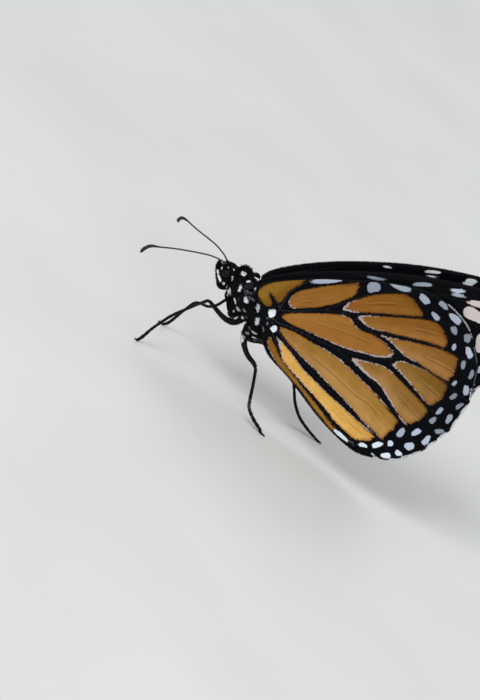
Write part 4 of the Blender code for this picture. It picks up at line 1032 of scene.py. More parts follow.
def fringe(label, loop, y_mid, is_white, seed, slot_name="wing"):
    """Two staggered rows of long scales round the margin."""
    line = even(loop, 0.105, closed=True)
    turn = (line[:, 0] * np.roll(line[:, 1], -1) - np.roll(line[:, 0], -1) * line[:, 1]).sum()
    tangent = unit(np.roll(line, -1, 0) - np.roll(line, 1, 0)) * (1 if turn > 0 else -1)
    out2 = np.stack([tangent[:, 1], -tangent[:, 0]], 1)
    lo, hi = loop.min(0), loop.max(0)
    for side, sign in (("left", -1), ("right", 1)):
        rng = np.random.default_rng(seed)
        roots, lays, normals, uvs, whites = [], [], [], [], []
        for row, (back, face) in enumerate(((0.10, 1), (0.16, 1), (0.10, -1), (0.16, -1))):
            n = len(line)
            jitter = rng.uniform(-0.04, 0.04, (n, 1))
            p = line - out2 * back + tangent * jitter + tangent * 0.05 * (row % 2)
            y = sign * (y_mid + lean(p[:, 0], p[:, 1]) + face * 0.045)
            roots.append(np.stack([p[:, 0], y, p[:, 1]], 1))
            sway = rng.normal(0, 0.16, (n, 1))
            d = unit(out2 + tangent * sway)
            lays.append(np.stack([d[:, 0], np.zeros(n), d[:, 1]], 1))
            normals.append(np.tile((0.0, sign * face, 0.0), (n, 1)))
            uvs.append((p - lo) / (hi - lo) * 0.98 + 0.01)
            whites.append(is_white(p) * (rng.random(n) > 0.10))
        roots, lays, normals, uvs = (np.vstack(v) for v in (roots, lays, normals, uvs))
        whites = np.concatenate(whites)
        free = ~((roots[:, 0] < -0.4) & (roots[:, 0] > -3.7) & (roots[:, 2] < 18.4) & (roots[:, 2] > 15.2))
        roots, lays, normals, uvs, whites = roots[free], lays[free], normals[free], uvs[free], whites[free]
        n = len(roots)
        tufts(f"{label}_{side}_fringe", roots, normals, lays, rng.uniform(0.34, 0.50, n),
              rng.uniform(0.10, 0.15, n), np.full(n, 0.02), whites, rng.random(n),
              uvs, FUR, slot_name, thick=0.16, bend=0.2)


def hind_white(p):
    out = np.zeros(len(p))
    for a, b in HINDWING_DASHES:
        d = to_segments(p, np.array((a, b), float), False)
        out = np.maximum(out, (d < 0.55) * 1.0)
    return out * (1 - 0.80 * ease((p[:, 1] - 27.5) / 2.0) * (p[:, 0] > 32.5) - 0.45 * ease((p[:, 1] - 34.0) / 4.0) * (p[:, 0] <= 32.5))


def fore_white(p):
    out = np.zeros(len(p))
    tips = np.array(fore_tips, float)
    for a, b in zip(tips, tips[1:]):
        for t0, t1 in ((0.14, 0.40), (0.60, 0.86)):
            d = to_segments(p, np.array((a + (b - a) * t0, a + (b - a) * t1)), False)
            out = np.maximum(out, (d < 0.6) * 0.9)
    return out


fringe("hindwing", hind_net[:hind_rim], HINDWING_Y, hind_white, 11)
fringe("forewing", fore_net[:fore_rim], FOREWING_Y, fore_white, 12)


# ---- body --------------------------------------------------------------------
def loft(stations, sides, per_span, inset, squareness=2.15):
    rings = []
    for x, zc, ry, rz in catmull(stations, per_span):
        a = 2 * np.pi * np.arange(sides) / sides
        c, d = np.cos(a), np.sin(a)
        y = np.sign(c) * np.abs(c) ** (2 / squareness) * max(ry - inset, 0.12)
        z = np.sign(d) * np.abs(d) ** (2 / squareness) * max(rz - inset, 0.12)
        rings.append(np.stack([np.full(sides, x), y, zc + z], 1))
    n = len(rings)
    faces = [(i * sides + k, i * sides + (k + 1) % sides, (i + 1) * sides + (k + 1) % sides, (i + 1) * sides + k)
             for i in range(n - 1) for k in range(sides)]
    faces.append(tuple(range(sides)))
    faces.append(tuple(range((n - 1) * sides, n * sides))[::-1])
    return np.vstack(rings), faces


def ball(centre, radii, u=32, v=20):
    th = np.pi * np.arange(1, v) / v
    ph = 2 * np.pi * np.arange(u) / u
    body = np.array([(math.sin(t) * math.cos(p), math.cos(t), math.sin(t) * math.sin(p)) for t in th for p in ph])
    pts = np.vstack([body, [(0, 1, 0)], [(0, -1, 0)]])
    faces = [(i * u + k, i * u + (k + 1) % u, (i + 1) * u + (k + 1) % u, (i + 1) * u + k)
             for i in range(v - 2) for k in range(u)]
    top, low = len(body), len(body) + 1
    faces += [(top, (k + 1) % u, k) for k in range(u)]
    faces += [(low, (v - 2) * u + k, (v - 2) * u + (k + 1) % u) for k in range(u)]
    return pts * radii + centre, faces


ABD_A = np.array((ABDOMEN_FROM[0], 0.0, ABDOMEN_FROM[1]))
ABD_B = np.array((ABDOMEN_TO[0], 0.0, ABDOMEN_TO[1]))
ABD_ALONG = unit(ABD_B - ABD_A)
ABD_UP = np.array((-ABD_ALONG[2], 0.0, ABD_ALONG[0]))
ABD_LEN = float(np.linalg.norm(ABD_B - ABD_A))


def abdomen_rings():
    """Segments that overlap like roof tiles: each swells, then steps in."""
    count = len(ABDOMEN_R)
    rings = []
    for s in np.linspace(-0.06, 1.0, 118):
        t = max(s, 0.0)
        k = min(count - 1, int(t * count))
        f = t * count - k
        base = np.interp(t * count - 0.5, np.arange(count), ABDOMEN_R)
        step = -0.15 * math.exp(-(f / 0.10) ** 2) + 0.05 * math.sin(math.pi * min(f / 0.9, 1.0)) - 0.05 * (f > 0.93)
        r = (base + step - COAT * 0.7)
        if t > 0.90:
            r *= math.sqrt(max(0.02, 1 - ((t - 0.90) / 0.104) ** 2))
        c = ABD_A + (ABD_B - ABD_A) * s + ABD_UP * 0.35 * math.sin(math.pi * t)
        a = 2 * np.pi * np.arange(40) / 40
        rings.append(c + np.outer(np.cos(a), (0, 1, 0)) * r * 0.96 + np.outer(np.sin(a), ABD_UP) * r * 1.04)
    n = len(rings)
    faces = [(i * 40 + k, i * 40 + (k + 1) % 40, (i + 1) * 40 + (k + 1) % 40, (i + 1) * 40 + k)
             for i in range(n - 1) for k in range(40)]
    faces.append(tuple(range(40)))
    faces.append(tuple(range((n - 1) * 40, n * 40))[::-1])
    return np.vstack(rings), faces


def flip(points, sign):
    p = np.array(points, float)
    p[:, 1] *= sign
    return p


LEGS = {}
for side, sign in (("left", -1), ("right", 1)):
    LEGS["midleg_" + side] = flip(MIDLEG_LEFT if sign < 0 else MIDLEG_RIGHT, sign)
    LEGS["hindleg_" + side] = flip(HINDLEG_LEFT if sign < 0 else HINDLEG_RIGHT, sign)
    LEGS["foreleg_" + side] = flip(FORELEG, sign)

parts = [loft(THORAX, 56, 5, COAT), loft(HEAD, 48, 6, COAT * 0.9), abdomen_rings()]
for side, sign in (("left", -1), ("right", 1)):
    palp = catmull(flip(PALP, sign), 6)
    parts.append(ringed(palp[:, :3], np.maximum(PALP_R * palp[:, 3] - 0.10, 0.07), 16))
    # face and cheek under the eye, and the frons between the antennae
    parts.append(ball((-10.15, sign * 0.76, 16.62), (0.92, 0.57, 0.82), 24, 14))
    for leg in ("midleg_", "hindleg_"):
        p = LEGS[leg + side][:3]
        c = catmull(p, 5)
        parts.append(ringed(c[:, :3], c[:, 3] - 0.16, 18))
    p = catmull(LEGS["foreleg_" + side][:3], 4)
    parts.append(ringed(p[:, :3], p[:, 3] - 0.12, 14))
parts.append(ball((-11.25, 0.0, 18.7), (0.70, 0.95, 0.95), 24, 14))
parts.append(ball((-7.85, 0.0, 20.15), (0.95, 1.15, 0.80), 28, 16))   # collar
parts.append(ball((0.70, 0.0, 13.05), (1.60, 1.50, 1.25), 28, 16))    # base of the belly
for sign in (-1, 1):
    parts.append(ball((-5.20, sign * 1.05, 13.25), (0.86, 0.64, 1.00), 24, 14))      # front hip
    parts.append(ball((-4.1, sign * 2.30, 18.6), (1.35, 0.55, 1.3), 24, 14))   # side plates under the hinge


def remeshed(parts, voxel, rounds):
    """One closed skin over several overlapping solids, in millimetres."""
    v, f = gather(parts)
    me = bpy.data.meshes.new("raw")
    me.from_pydata(v.tolist(), [], f)
    bm = bmesh.new()
    bm.from_mesh(me)
    # each solid on its own is wound outwards before they are merged
    bmesh.ops.recalc_face_normals(bm, faces=bm.faces)
    bm.to_mesh(me)
    bm.free()
    ob = bpy.data.objects.new("raw", me)
    bpy.context.scene.collection.objects.link(ob)
    mod = ob.modifiers.new("voxel", 'REMESH')
    mod.mode, mod.voxel_size, mod.adaptivity = 'VOXEL', voxel, 0.0
    dg = bpy.context.evaluated_depsgraph_get()
    out = bpy.data.meshes.new_from_object(ob.evaluated_get(dg))
    bpy.data.objects.remove(ob)
    bm = bmesh.new()
    bm.from_mesh(out)
    for _ in range(rounds):
        bmesh.ops.smooth_vert(bm, verts=bm.verts, factor=0.5, use_axis_x=True, use_axis_y=True, use_axis_z=True)
    # keep the largest shell
    seen, shells = set(), []
    for v0 in bm.verts:
        if v0 in seen:
            continue
        stack, shell = [v0], []
        seen.add(v0)
        while stack:
            a = stack.pop()
            shell.append(a)
            for e in a.link_edges:
                b = e.other_vert(a)
                if b not in seen:
                    seen.add(b)
                    stack.append(b)
        shells.append(shell)
    shells.sort(key=len)
    for shell in shells[:-1]:
        bmesh.ops.delete(bm, geom=shell, context='VERTS')
    bmesh.ops.triangulate(bm, faces=bm.faces)
    bmesh.ops.recalc_face_normals(bm, faces=bm.faces)
    bm.verts.ensure_lookup_table()
    verts = np.array([v.co[:] for v in bm.verts])
    norms = np.array([v.normal[:] for v in bm.verts])
    faces = np.array([[v.index for v in f.verts] for f in bm.faces])
    bm.free()
    return verts, norms, faces


skin_v, skin_n, skin_f = remeshed(parts, 0.12, 3)
print("skin", len(skin_v), len(skin_f))


def wobble(p, size, seed):
    """Cheap smooth variation in -1..1 over 3D points."""
    rng = np.random.default_rng(seed)
    out = np.zeros(len(p))
    for _ in range(5):
        d = unit(rng.normal(size=3)) * (2 * np.pi / size) * rng.uniform(0.7, 1.5)
        out += np.sin(p @ d + rng.uniform(0, 6.28))
    return out / 3.2


def abdomen_marks(p):
    """One white mark on each flank of every segment and a paler dot below it."""
    rel = p - ABD_A
    t = rel @ ABD_ALONG / ABD_LEN
    c = ABD_A + ABD_ALONG * (t * ABD_LEN)[:, None] + ABD_UP * (0.35 * np.sin(np.pi * np.clip(t, 0, 1)))[:, None]
    off = p - c
    ang = np.degrees(np.arctan2(off @ ABD_UP, np.abs(off[:, 1])))
    f = np.clip(t, 0, 0.999) * len(ABDOMEN_R) % 1.0
    seg = np.clip(t, 0, 0.999) * len(ABDOMEN_R)
    size = np.interp(t, (0, 0.1, 0.8, 1.0), (0.7, 1.0, 0.8, 0.5))
    r = 2.0
    a = np.hypot((f - 0.62) * 2.1, (ang + 8) / 57.3 * r) - 0.40 * size
    b = np.hypot((f - 0.66) * 2.1, (ang + 50) / 57.3 * r) - 0.30 * size
    return np.where((t > 0.03) & (seg < len(ABDOMEN_R) - 0.6), np.maximum(-a, -b * 0.9), -1.0)


def strokes_white(p, strokes, edge):
    jag = 0.05 * wobble(p, 0.5, 5) + 0.03 * wobble(p, 0.2, 6)
    out = np.zeros(len(p))
    for a, b, r, w in strokes:
        a, b = np.array(a), np.array(b)
        ab = b - a
        t = np.clip(((p - a) @ ab) / max(ab @ ab, 1e-9), 0, 1)
        d = np.linalg.norm(p - a - t[:, None] * ab, axis=1)
        s = r - d + jag
        out = np.maximum(out, w * np.clip(s / edge + 0.5, 0, 1))
    return out


def body_white(p, edge=0.05):
    """Whiteness of the coat that grows at p."""
    q = p.copy()
    q[:, 1] = np.abs(q[:, 1])
    jag = 0.05 * wobble(p, 0.5, 5) + 0.03 * wobble(p, 0.2, 6)
    out = strokes_white(q, BODY_MARKS, edge)
    flank = abdomen_marks(p)
    out = np.maximum(out, np.where(p[:, 0] > 2.4, 0.85 * np.clip((flank + jag) / edge + 0.5, 0, 1), 0))
    return out


ones = np.ones(len(skin_v))
skin = make_object("body_skin", skin_v, skin_f, data={
    "white": body_white(skin_v, 0.10), "along": ones * 0.3, "shade": 0.5 + 0.3 * wobble(skin_v, 0.8, 9)})
finish_piece(skin, SKIN, "body_fur", "head", "thorax", "abdomen", "palp_left", "palp_right")

# Where tufts may root: triangles of the skin, sampled evenly.
tri_p = skin_v[skin_f]
tri_area = 0.5 * np.linalg.norm(np.cross(tri_p[:, 1] - tri_p[:, 0], tri_p[:, 2] - tri_p[:, 0]), axis=1)


def sample(mask, count, seed):
    rng = np.random.default_rng(seed)
    idx = np.nonzero(mask)[0]
    w = np.cumsum(tri_area[idx])
    # even spacing along the running area keeps the coat free of bald patches
    at = (np.arange(count) + rng.random(count)) / count * w[-1]
    pick = idx[np.minimum(np.searchsorted(w, at), len(idx) - 1)]
    u, v = rng.random(count), rng.random(count)
    over = u + v > 1
    u[over], v[over] = 1 - u[over], 1 - v[over]
    t = skin_f[pick]
    wts = np.stack([1 - u - v, u, v], 1)[:, :, None]
    p = (skin_v[t] * wts).sum(1)
    n = unit((skin_n[t] * wts).sum(1))
    return p, n, rng


tri_c = tri_p.mean(1)
cy = np.abs(tri_c[:, 1])
is_head = tri_c[:, 0] < -8.95
palp_line = catmull(flip(PALP, 1), 4)[:, :3]
tri_abs = tri_c.copy()
tri_abs[:, 1] = cy


def near_line(points, line, reach):
    best = np.full(len(points), 9.0)
    for a, b in zip(line, line[1:]):
        ab = b - a
        t = np.clip(((points - a) @ ab) / (ab @ ab), 0, 1)
        best = np.minimum(best, np.linalg.norm(points - a - t[:, None] * ab, axis=1))
    return best < reach


on_palp = near_line(tri_abs, palp_line, 0.46) & ((tri_c[:, 0] < -11.3) | (tri_c[:, 2] < 16.9))
in_eye = ((((tri_c[:, 0] - EYE_AT[0]) / (EYE_R[0] - 0.02)) ** 2 + ((cy - EYE_AT[1]) / (EYE_R[1] - 0.02)) ** 2
           + ((tri_c[:, 2] - EYE_AT[2]) / (EYE_R[2] - 0.02)) ** 2) < 1)
is_abd = tri_c[:, 0] > 1.75
leg_lines = [catmull(np.abs(LEGS[k][:4]) * (1, 1, 1, 1) * np.sign(LEGS[k][:4] * (1, 0, 1, 1) + (0, 1, 0, 0)), 4)[:, :3]
             for k in ("midleg_left", "hindleg_left", "foreleg_left")]
on_coxa = np.zeros(len(tri_c), bool)
for line in leg_lines[:2]:
    on_coxa |= near_line(tri_abs, line, 0.86) & (tri_c[:, 2] < 13.4)
is_thorax = ~is_head & ~is_abd & ~on_coxa


def body_uv(p):
    """Unrolled round the trunk's axis: length against the angle from the belly."""
    u = np.clip((p[:, 0] + 13.2) / 33.4, 0, 1)
    axis_z = np.interp(p[:, 0], (-12, -8.5, -5, -3, 0, 1.6, 19.6), (18.4, 18.4, 17.2, 16.6, 15.7, 15.2, 9.95))
    v = np.arctan2(p[:, 1], -(p[:, 2] - axis_z)) / (2 * np.pi) + 0.5
    return np.stack([0.01 + 0.98 * u, 0.01 + 0.98 * np.clip(v, 0, 1)], 1)


def body_tufts(name, mask, count, seed, lay, black, white_len, slot="body_fur", width=(0.08, 0.14), lift=(0.25, 0.6),
               long=True, dark_only=False):
    """black and white_len are (shortest, longest)."""
    p, n, rng = sample(mask, count, seed)
    w = body_white(p)
    if dark_only:
        keep = w < 0.1
        p, n, w = p[keep], n[keep], w[keep]
    k = len(p)
    is_white = w > 0.18
    length = np.where(is_white, rng.uniform(*white_len, k), rng.uniform(*black, k))
    rise = np.where(is_white, rng.uniform(0.10, 0.28, k), rng.uniform(*lift, k))
    wide = np.where(is_white, rng.uniform(0.13, 0.20, k), rng.uniform(*width, k))
    d = lay(p, n)
    side = np.cross(n, d)
    d = unit(d + side * rng.normal(0, 0.28, k)[:, None])
    scale = length_map(p)
    tufts(name, p, n, d, length * scale, wide, rise, w, rng.random(k), body_uv(p), FUR, slot, long=long)


def length_map(p):
    """Longer on the back's front; the same length everywhere else."""
    x, z = p[:, 0], p[:, 2]
    s = np.ones(len(p))
    s *= 1 + 0.35 * np.exp(-((x + 7.6) / 1.0) ** 2 - ((z - 20.9) / 1.0) ** 2)
    return s


def lay_trunk(p, n):
    """Backwards, and down the flanks."""
    y = p[:, 1]
    down = np.clip(np.abs(y) / 2.5, 0, 1)
    d = np.stack([np.full(len(p), 1.0), 0 * y, -0.55 * down], 1)
    return unit(d - n * (d * n).sum(1)[:, None])


def lay_crown(p, n):
    d = np.stack([0.35 + 0 * p[:, 0], 0.25 * np.sign(p[:, 1]), 0.8 + 0 * p[:, 0]], 1)
    return unit(d - n * (d * n).sum(1)[:, None] + 1e-4)


def lay_abdomen(p, n):
    d = np.tile(ABD_ALONG, (len(p), 1))
    return unit(d - n * (d * n).sum(1)[:, None])


def lay_head(p, n):
    """Out from the face: up over the crown, back over the cheeks."""
    d = np.stack([0.55 + 0 * p[:, 0], 0.15 * np.sign(p[:, 1]), np.where(p[:, 2] > 18.4, 0.9, -0.6)], 1)
    d[:, 0] = np.where(p[:, 0] < -11.0, -0.5, 0.8)
    return unit(d - n * (d * n).sum(1)[:, None])


def lay_palp(p, n):
    d = np.tile(unit(np.array((-0.55, 0.0, 0.85))), (len(p), 1))
    return unit(d - n * (d * n).sum(1)[:, None])


def lay_coxa(p, n):
    d = np.stack([-0.25 + 0 * p[:, 0], 0.25 * np.sign(p[:, 1]), -1.0 + 0 * p[:, 0]], 1)
    return unit(d - n * (d * n).sum(1)[:, None])


left = tri_c[:, 1] < 0
body_tufts("head_coat", is_head & ~on_palp & ~in_eye, 9500, 21, lay_head, (0.24, 0.46), (0.13, 0.20), width=(0.05, 0.09),
           lift=(0.40, 0.95))
body_tufts("palp_coat", on_palp, 5200, 22, lay_palp, (0.22, 0.44), (0.16, 0.26), width=(0.06, 0.10), lift=(0.25, 0.75))
body_tufts("thorax_left_coat", is_thorax & left, 11000, 23, lay_trunk, (0.30, 0.66), (0.22, 0.34))
body_tufts("thorax_right_coat", is_thorax & ~left, 11000, 24, lay_trunk, (0.30, 0.66), (0.22, 0.34))
body_tufts("hip_coat", on_coxa, 5600, 25, lay_coxa, (0.28, 0.56), (0.20, 0.32), lift=(0.25, 0.7))
body_tufts("abdomen_coat", is_abd, 17000, 26, lay_abdomen, (0.24, 0.40), (0.22, 0.34), width=(0.12, 0.19),
           lift=(0.10, 0.32), long=False)
# longer hairs that break the outline: collar, crown, back and belly
crown = is_head & ~on_palp & ~in_eye & (tri_c[:, 2] > 19.3)
near_spot = (np.abs(tri_c[:, 0] + 5.7) < 0.75) & (cy < 0.9)
collar = is_thorax & (tri_c[:, 0] < -5.6) & (tri_c[:, 2] > 19.9) & ~near_spot
back = is_thorax & (tri_c[:, 2] > 19.0) & ~collar & ~near_spot
belly = (is_thorax & (tri_c[:, 2] < 14.6)) | on_coxa
body_tufts("crown_hair_coat", crown, 380, 41, lay_crown, (0.40, 0.80), (0.2, 0.2), width=(0.10, 0.17), lift=(0.8, 1.35), dark_only=True)
body_tufts("collar_hair_coat", collar, 900, 42, lay_crown, (0.45, 0.95), (0.2, 0.2), width=(0.11, 0.19), lift=(0.7, 1.35), dark_only=True)
body_tufts("back_hair_coat", back, 1000, 43, lay_trunk, (0.45, 0.85), (0.2, 0.2), width=(0.10, 0.17), lift=(0.5, 1.0), dark_only=True)
belly = belly & ~((np.hypot(tri_c[:, 0] + 0.15, tri_c[:, 2] - 12.85) < 0.95) & (cy > 0.9))
body_tufts("belly_hair_coat", belly, 1700, 44, lay_trunk, (0.45, 0.80), (0.2, 0.2), width=(0.10, 0.17), lift=(0.6, 1.2), dark_only=True)
under_belly = is_thorax & (tri_c[:, 2] < 12.3) & (tri_c[:, 0] > -0.3) & (tri_c[:, 0] < 1.7) & (cy < 1.25)
body_tufts("belly_fringe_coat", under_belly, 260, 47, lay_trunk, (0.60, 0.95), (0.2, 0.2), width=(0.12, 0.18), lift=(2.2, 3.2), dark_only=True)
face_front = (is_head & ~in_eye & (tri_c[:, 0] < -11.6)) | (on_palp & (tri_c[:, 0] < -11.0))
body_tufts("ruff_hair_coat", collar & (tri_c[:, 0] < -6.9), 360, 46, lay_crown, (0.80, 1.30), (0.2, 0.2), width=(0.08, 0.12), lift=(1.2, 1.8), dark_only=True)
body_tufts("face_hair_coat", face_front, 560, 45, lay_palp, (0.36, 0.72), (0.2, 0.2), width=(0.07, 0.11), lift=(0.8, 1.5), dark_only=True)

# ---- eyes, plates, tongue ----------------------------------------------------
for side, sign in (("left", -1), ("right", 1)):
    v, f = ball((EYE_AT[0], sign * EYE_AT[1], EYE_AT[2]), np.array(EYE_R) * 0.99, 56, 40)
    ob = make_object(f"eye_{side}_lens", v, f)
    outward(ob)
    finish_piece(ob, EYE, "eye", "eye_" + side)

    # tegula: a domed scale with a rolled rim
    u, w = 40, 16
    rings, faces = [], []
    for j in range(w + 1):
        r = j / w
        dome = 0.24 * math.sqrt(max(0.0, 1 - (r * 0.97) ** 2)) + 0.08 * math.exp(-((r - 0.84) / 0.08) ** 2)
        for k in range(u):
            a = 2 * math.pi * k / u
            rr = r * (1 + 0.07 * math.cos(a + 0.6) - 0.05 * math.cos(2 * a))
            rings.append((-5.75 + 0.80 * rr * math.cos(a), sign * (2.98 + dome - 0.06), 19.8 + 0.78 * rr * math.sin(a)))
    for j in range(w + 1):
        r = 1 - j / w
        for k in range(u):
            a = 2 * math.pi * k / u
            rr = r * (1 + 0.07 * math.cos(a + 0.6) - 0.05 * math.cos(2 * a))
            rings.append((-5.75 + 0.78 * rr * math.cos(a), sign * (2.98 - 0.16 * (1 - r * r) ** 0.5), 19.8 + 0.76 * rr * math.sin(a)))
    total = 2 * (w + 1)
    for j in range(1, total - 2):
        for k in range(u):
            m = (k + 1) % u
            faces.append((j * u + k, j * u + m, (j + 1) * u + m, (j + 1) * u + k))
    v = np.array(rings)[u:-u]
    faces = [tuple(i - u for i in g) for g in faces]
    faces.append(tuple(range(u)))
    faces.append(tuple(range(len(v) - u, len(v))))
    reach = np.hypot((v[:, 0] + 5.75) / 0.80, (v[:, 2] - 19.8) / 0.78)
    # the rim's paleness is a painted highlight, strongest toward the upper front
    lit = 0.22 + 0.60 * ease(((v[:, 2] - 19.8) - (v[:, 0] + 5.75) + 0.3) / 1.2)
    ob = make_object(f"tegula_{side}_plate", v, faces, data={"rim": np.exp(-((reach - 0.86) / 0.13) ** 2) * lit})
    outward(ob)
    finish_piece(ob, PLATE, "sclerite", "tegula_" + side)

    turn_at = np.radians(np.linspace(112, 164, 150))
    arc_rng = np.random.default_rng(77)
    away = 0.66 + 0.10 * arc_rng.uniform(-1, 1, 150)
    arc = np.stack([-5.75 + away * 0.84 * np.cos(turn_at), np.full(150, sign * 3.12), 19.8 + away * 0.82 * np.sin(turn_at)], 1)
    arc_lay = np.stack([np.cos(turn_at), 0 * turn_at, np.sin(turn_at)], 1)
    tufts(f"tegula_{side}_coat", arc, np.tile((0.0, float(sign), 0.0), (150, 1)), arc_lay, arc_rng.uniform(0.20, 0.34, 150),
          arc_rng.uniform(0.12, 0.17, 150), arc_rng.uniform(0.02, 0.14, 150), np.full(150, 0.95), arc_rng.random(150),
          np.stack([np.linspace(0.05, 0.95, 150), arc_rng.uniform(0.1, 0.9, 150)], 1), FUR, "sclerite", thick=0.25)

    # small hinge plates between the thorax and the wings
    bits = []
    for cx, cyy, cz, rx, ry, rz, turn in ((-4.55, 2.78, 18.75, 0.62, 0.16, 0.34, 35), (-3.75, 2.86, 18.0, 0.55, 0.15, 0.26, -20),
                                         (-5.35, 2.72, 18.35, 0.40, 0.14, 0.52, 10), (-4.4, 2.80, 17.75, 0.34, 0.13, 0.46, 25),
                                         (-3.3, 2.84, 18.75, 0.44, 0.14, 0.24, 50)):
        bv, bf = ball((0, 0, 0), (rx, ry, rz), 24, 14)
        t = math.radians(turn)
        x, z = bv[:, 0] * math.cos(t) - bv[:, 2] * math.sin(t), bv[:, 0] * math.sin(t) + bv[:, 2] * math.cos(t)
        bits.append((np.stack([x + cx, bv[:, 1] + sign * cyy, z + cz], 1), bf))
    v, f = gather(bits)
    ob = make_object(f"hinge_plates_{side}", v, f, data={"rim": 0.72 + 0.35 * wobble(v, 0.4, 12)})
    outward(ob)
    finish_piece(ob, PLATE, "sclerite")

# tongue: two half tubes wound side by side, ringed
t = np.linspace(0, 1, 260)
a = math.radians(140) + 2 * np.pi * COIL_TURNS * t
r = COIL_R - (COIL_R - 0.12) * t
line = np.stack([COIL_AT[0] + r * np.cos(a), 0 * t, COIL_AT[1] + r * np.sin(a)], 1)
halves = []
for sign in (-1, 1):
    rad = COIL_WIRE * (1 - 0.12 * t) * (0.90 + 0.05 * np.sin(t * 2 * np.pi * 62))
    halves.append(ringed(line + (0, sign * 0.075, 0), rad, 12))
v, f = gather(halves)
ob = make_object("tongue_coil", v, f)
outward(ob)
finish_piece(ob, TONGUE, "leg", "proboscis")

# ---- antennae ----------------------------------------------------------------
for side, sign, points in (("left", -1, ANTENNA_LEFT), ("right", 1, ANTENNA_RIGHT)):
    c = even(catmull(flip(points, sign), 12), 0.085)
    s = np.r_[0, np.cumsum(np.linalg.norm(np.diff(c[:, :3], axis=0), axis=1))]
    club = np.clip((s - (s[-1] - 4.6)) / 3.2, 0, 1)
    ring = 0.5 + 0.5 * np.cos(2 * np.pi * s / 0.42)
    rad = 0.135 + 0.185 * ease(club) + 0.014 * ring
    rad *= np.clip(np.sqrt(np.clip((s[-1] - s + 0.02) / 0.55, 0, 1)), 0.15, 1)
    # swollen base joints
    rad = np.maximum(rad, 0.30 * np.exp(-((s - 0.75) / 0.26) ** 2))
    rad = np.maximum(rad, 0.21 * np.exp(-((s - 1.15) / 0.16) ** 2))
    v, f = ringed(c[:, :3], rad, 14)
    ob = make_object(f"antenna_{side}_rings", v, f, data={
        "club": np.repeat(club, 14), "ring": np.repeat(ring, 14)})
    outward(ob)
    finish_piece(ob, ANTENNA, "antenna", "antenna_" + side)

# ---- legs --------------------------------------------------------------------
# where the knee and the ankle are, as places in the list of points
BENDS = {"midleg_left": (5, 8), "midleg_right": (5, 9), "hindleg_left": (6, 9), "hindleg_right": (6, 9),
         "foreleg_left": (3, 5), "foreleg_right": (3, 5)}


def spine(at, out, along, length, r):
    """A small leaning thorn."""
    d = unit(out * 0.75 + along * 0.9)
    path = np.array([at - out * 0.05, at + d * length * 0.5, at + d * length])
    return ringed(path, (r, r * 0.6, r * 0.12), 5, side=tuple(np.cross(d, along) + 1e-3))


def claw(at, along, side, sign):
    t = np.linspace(0, 1, 7)
    path = np.array([at + along * 0.42 * k + side * sign * (0.06 + 0.16 * k) + np.array((0, 0, 1.0)) * (0.05 * math.sin(math.pi * k) - 0.07 * k * k)
                     for k in t])
    return ringed(path, 0.062 * (1 - 0.9 * t), 8)


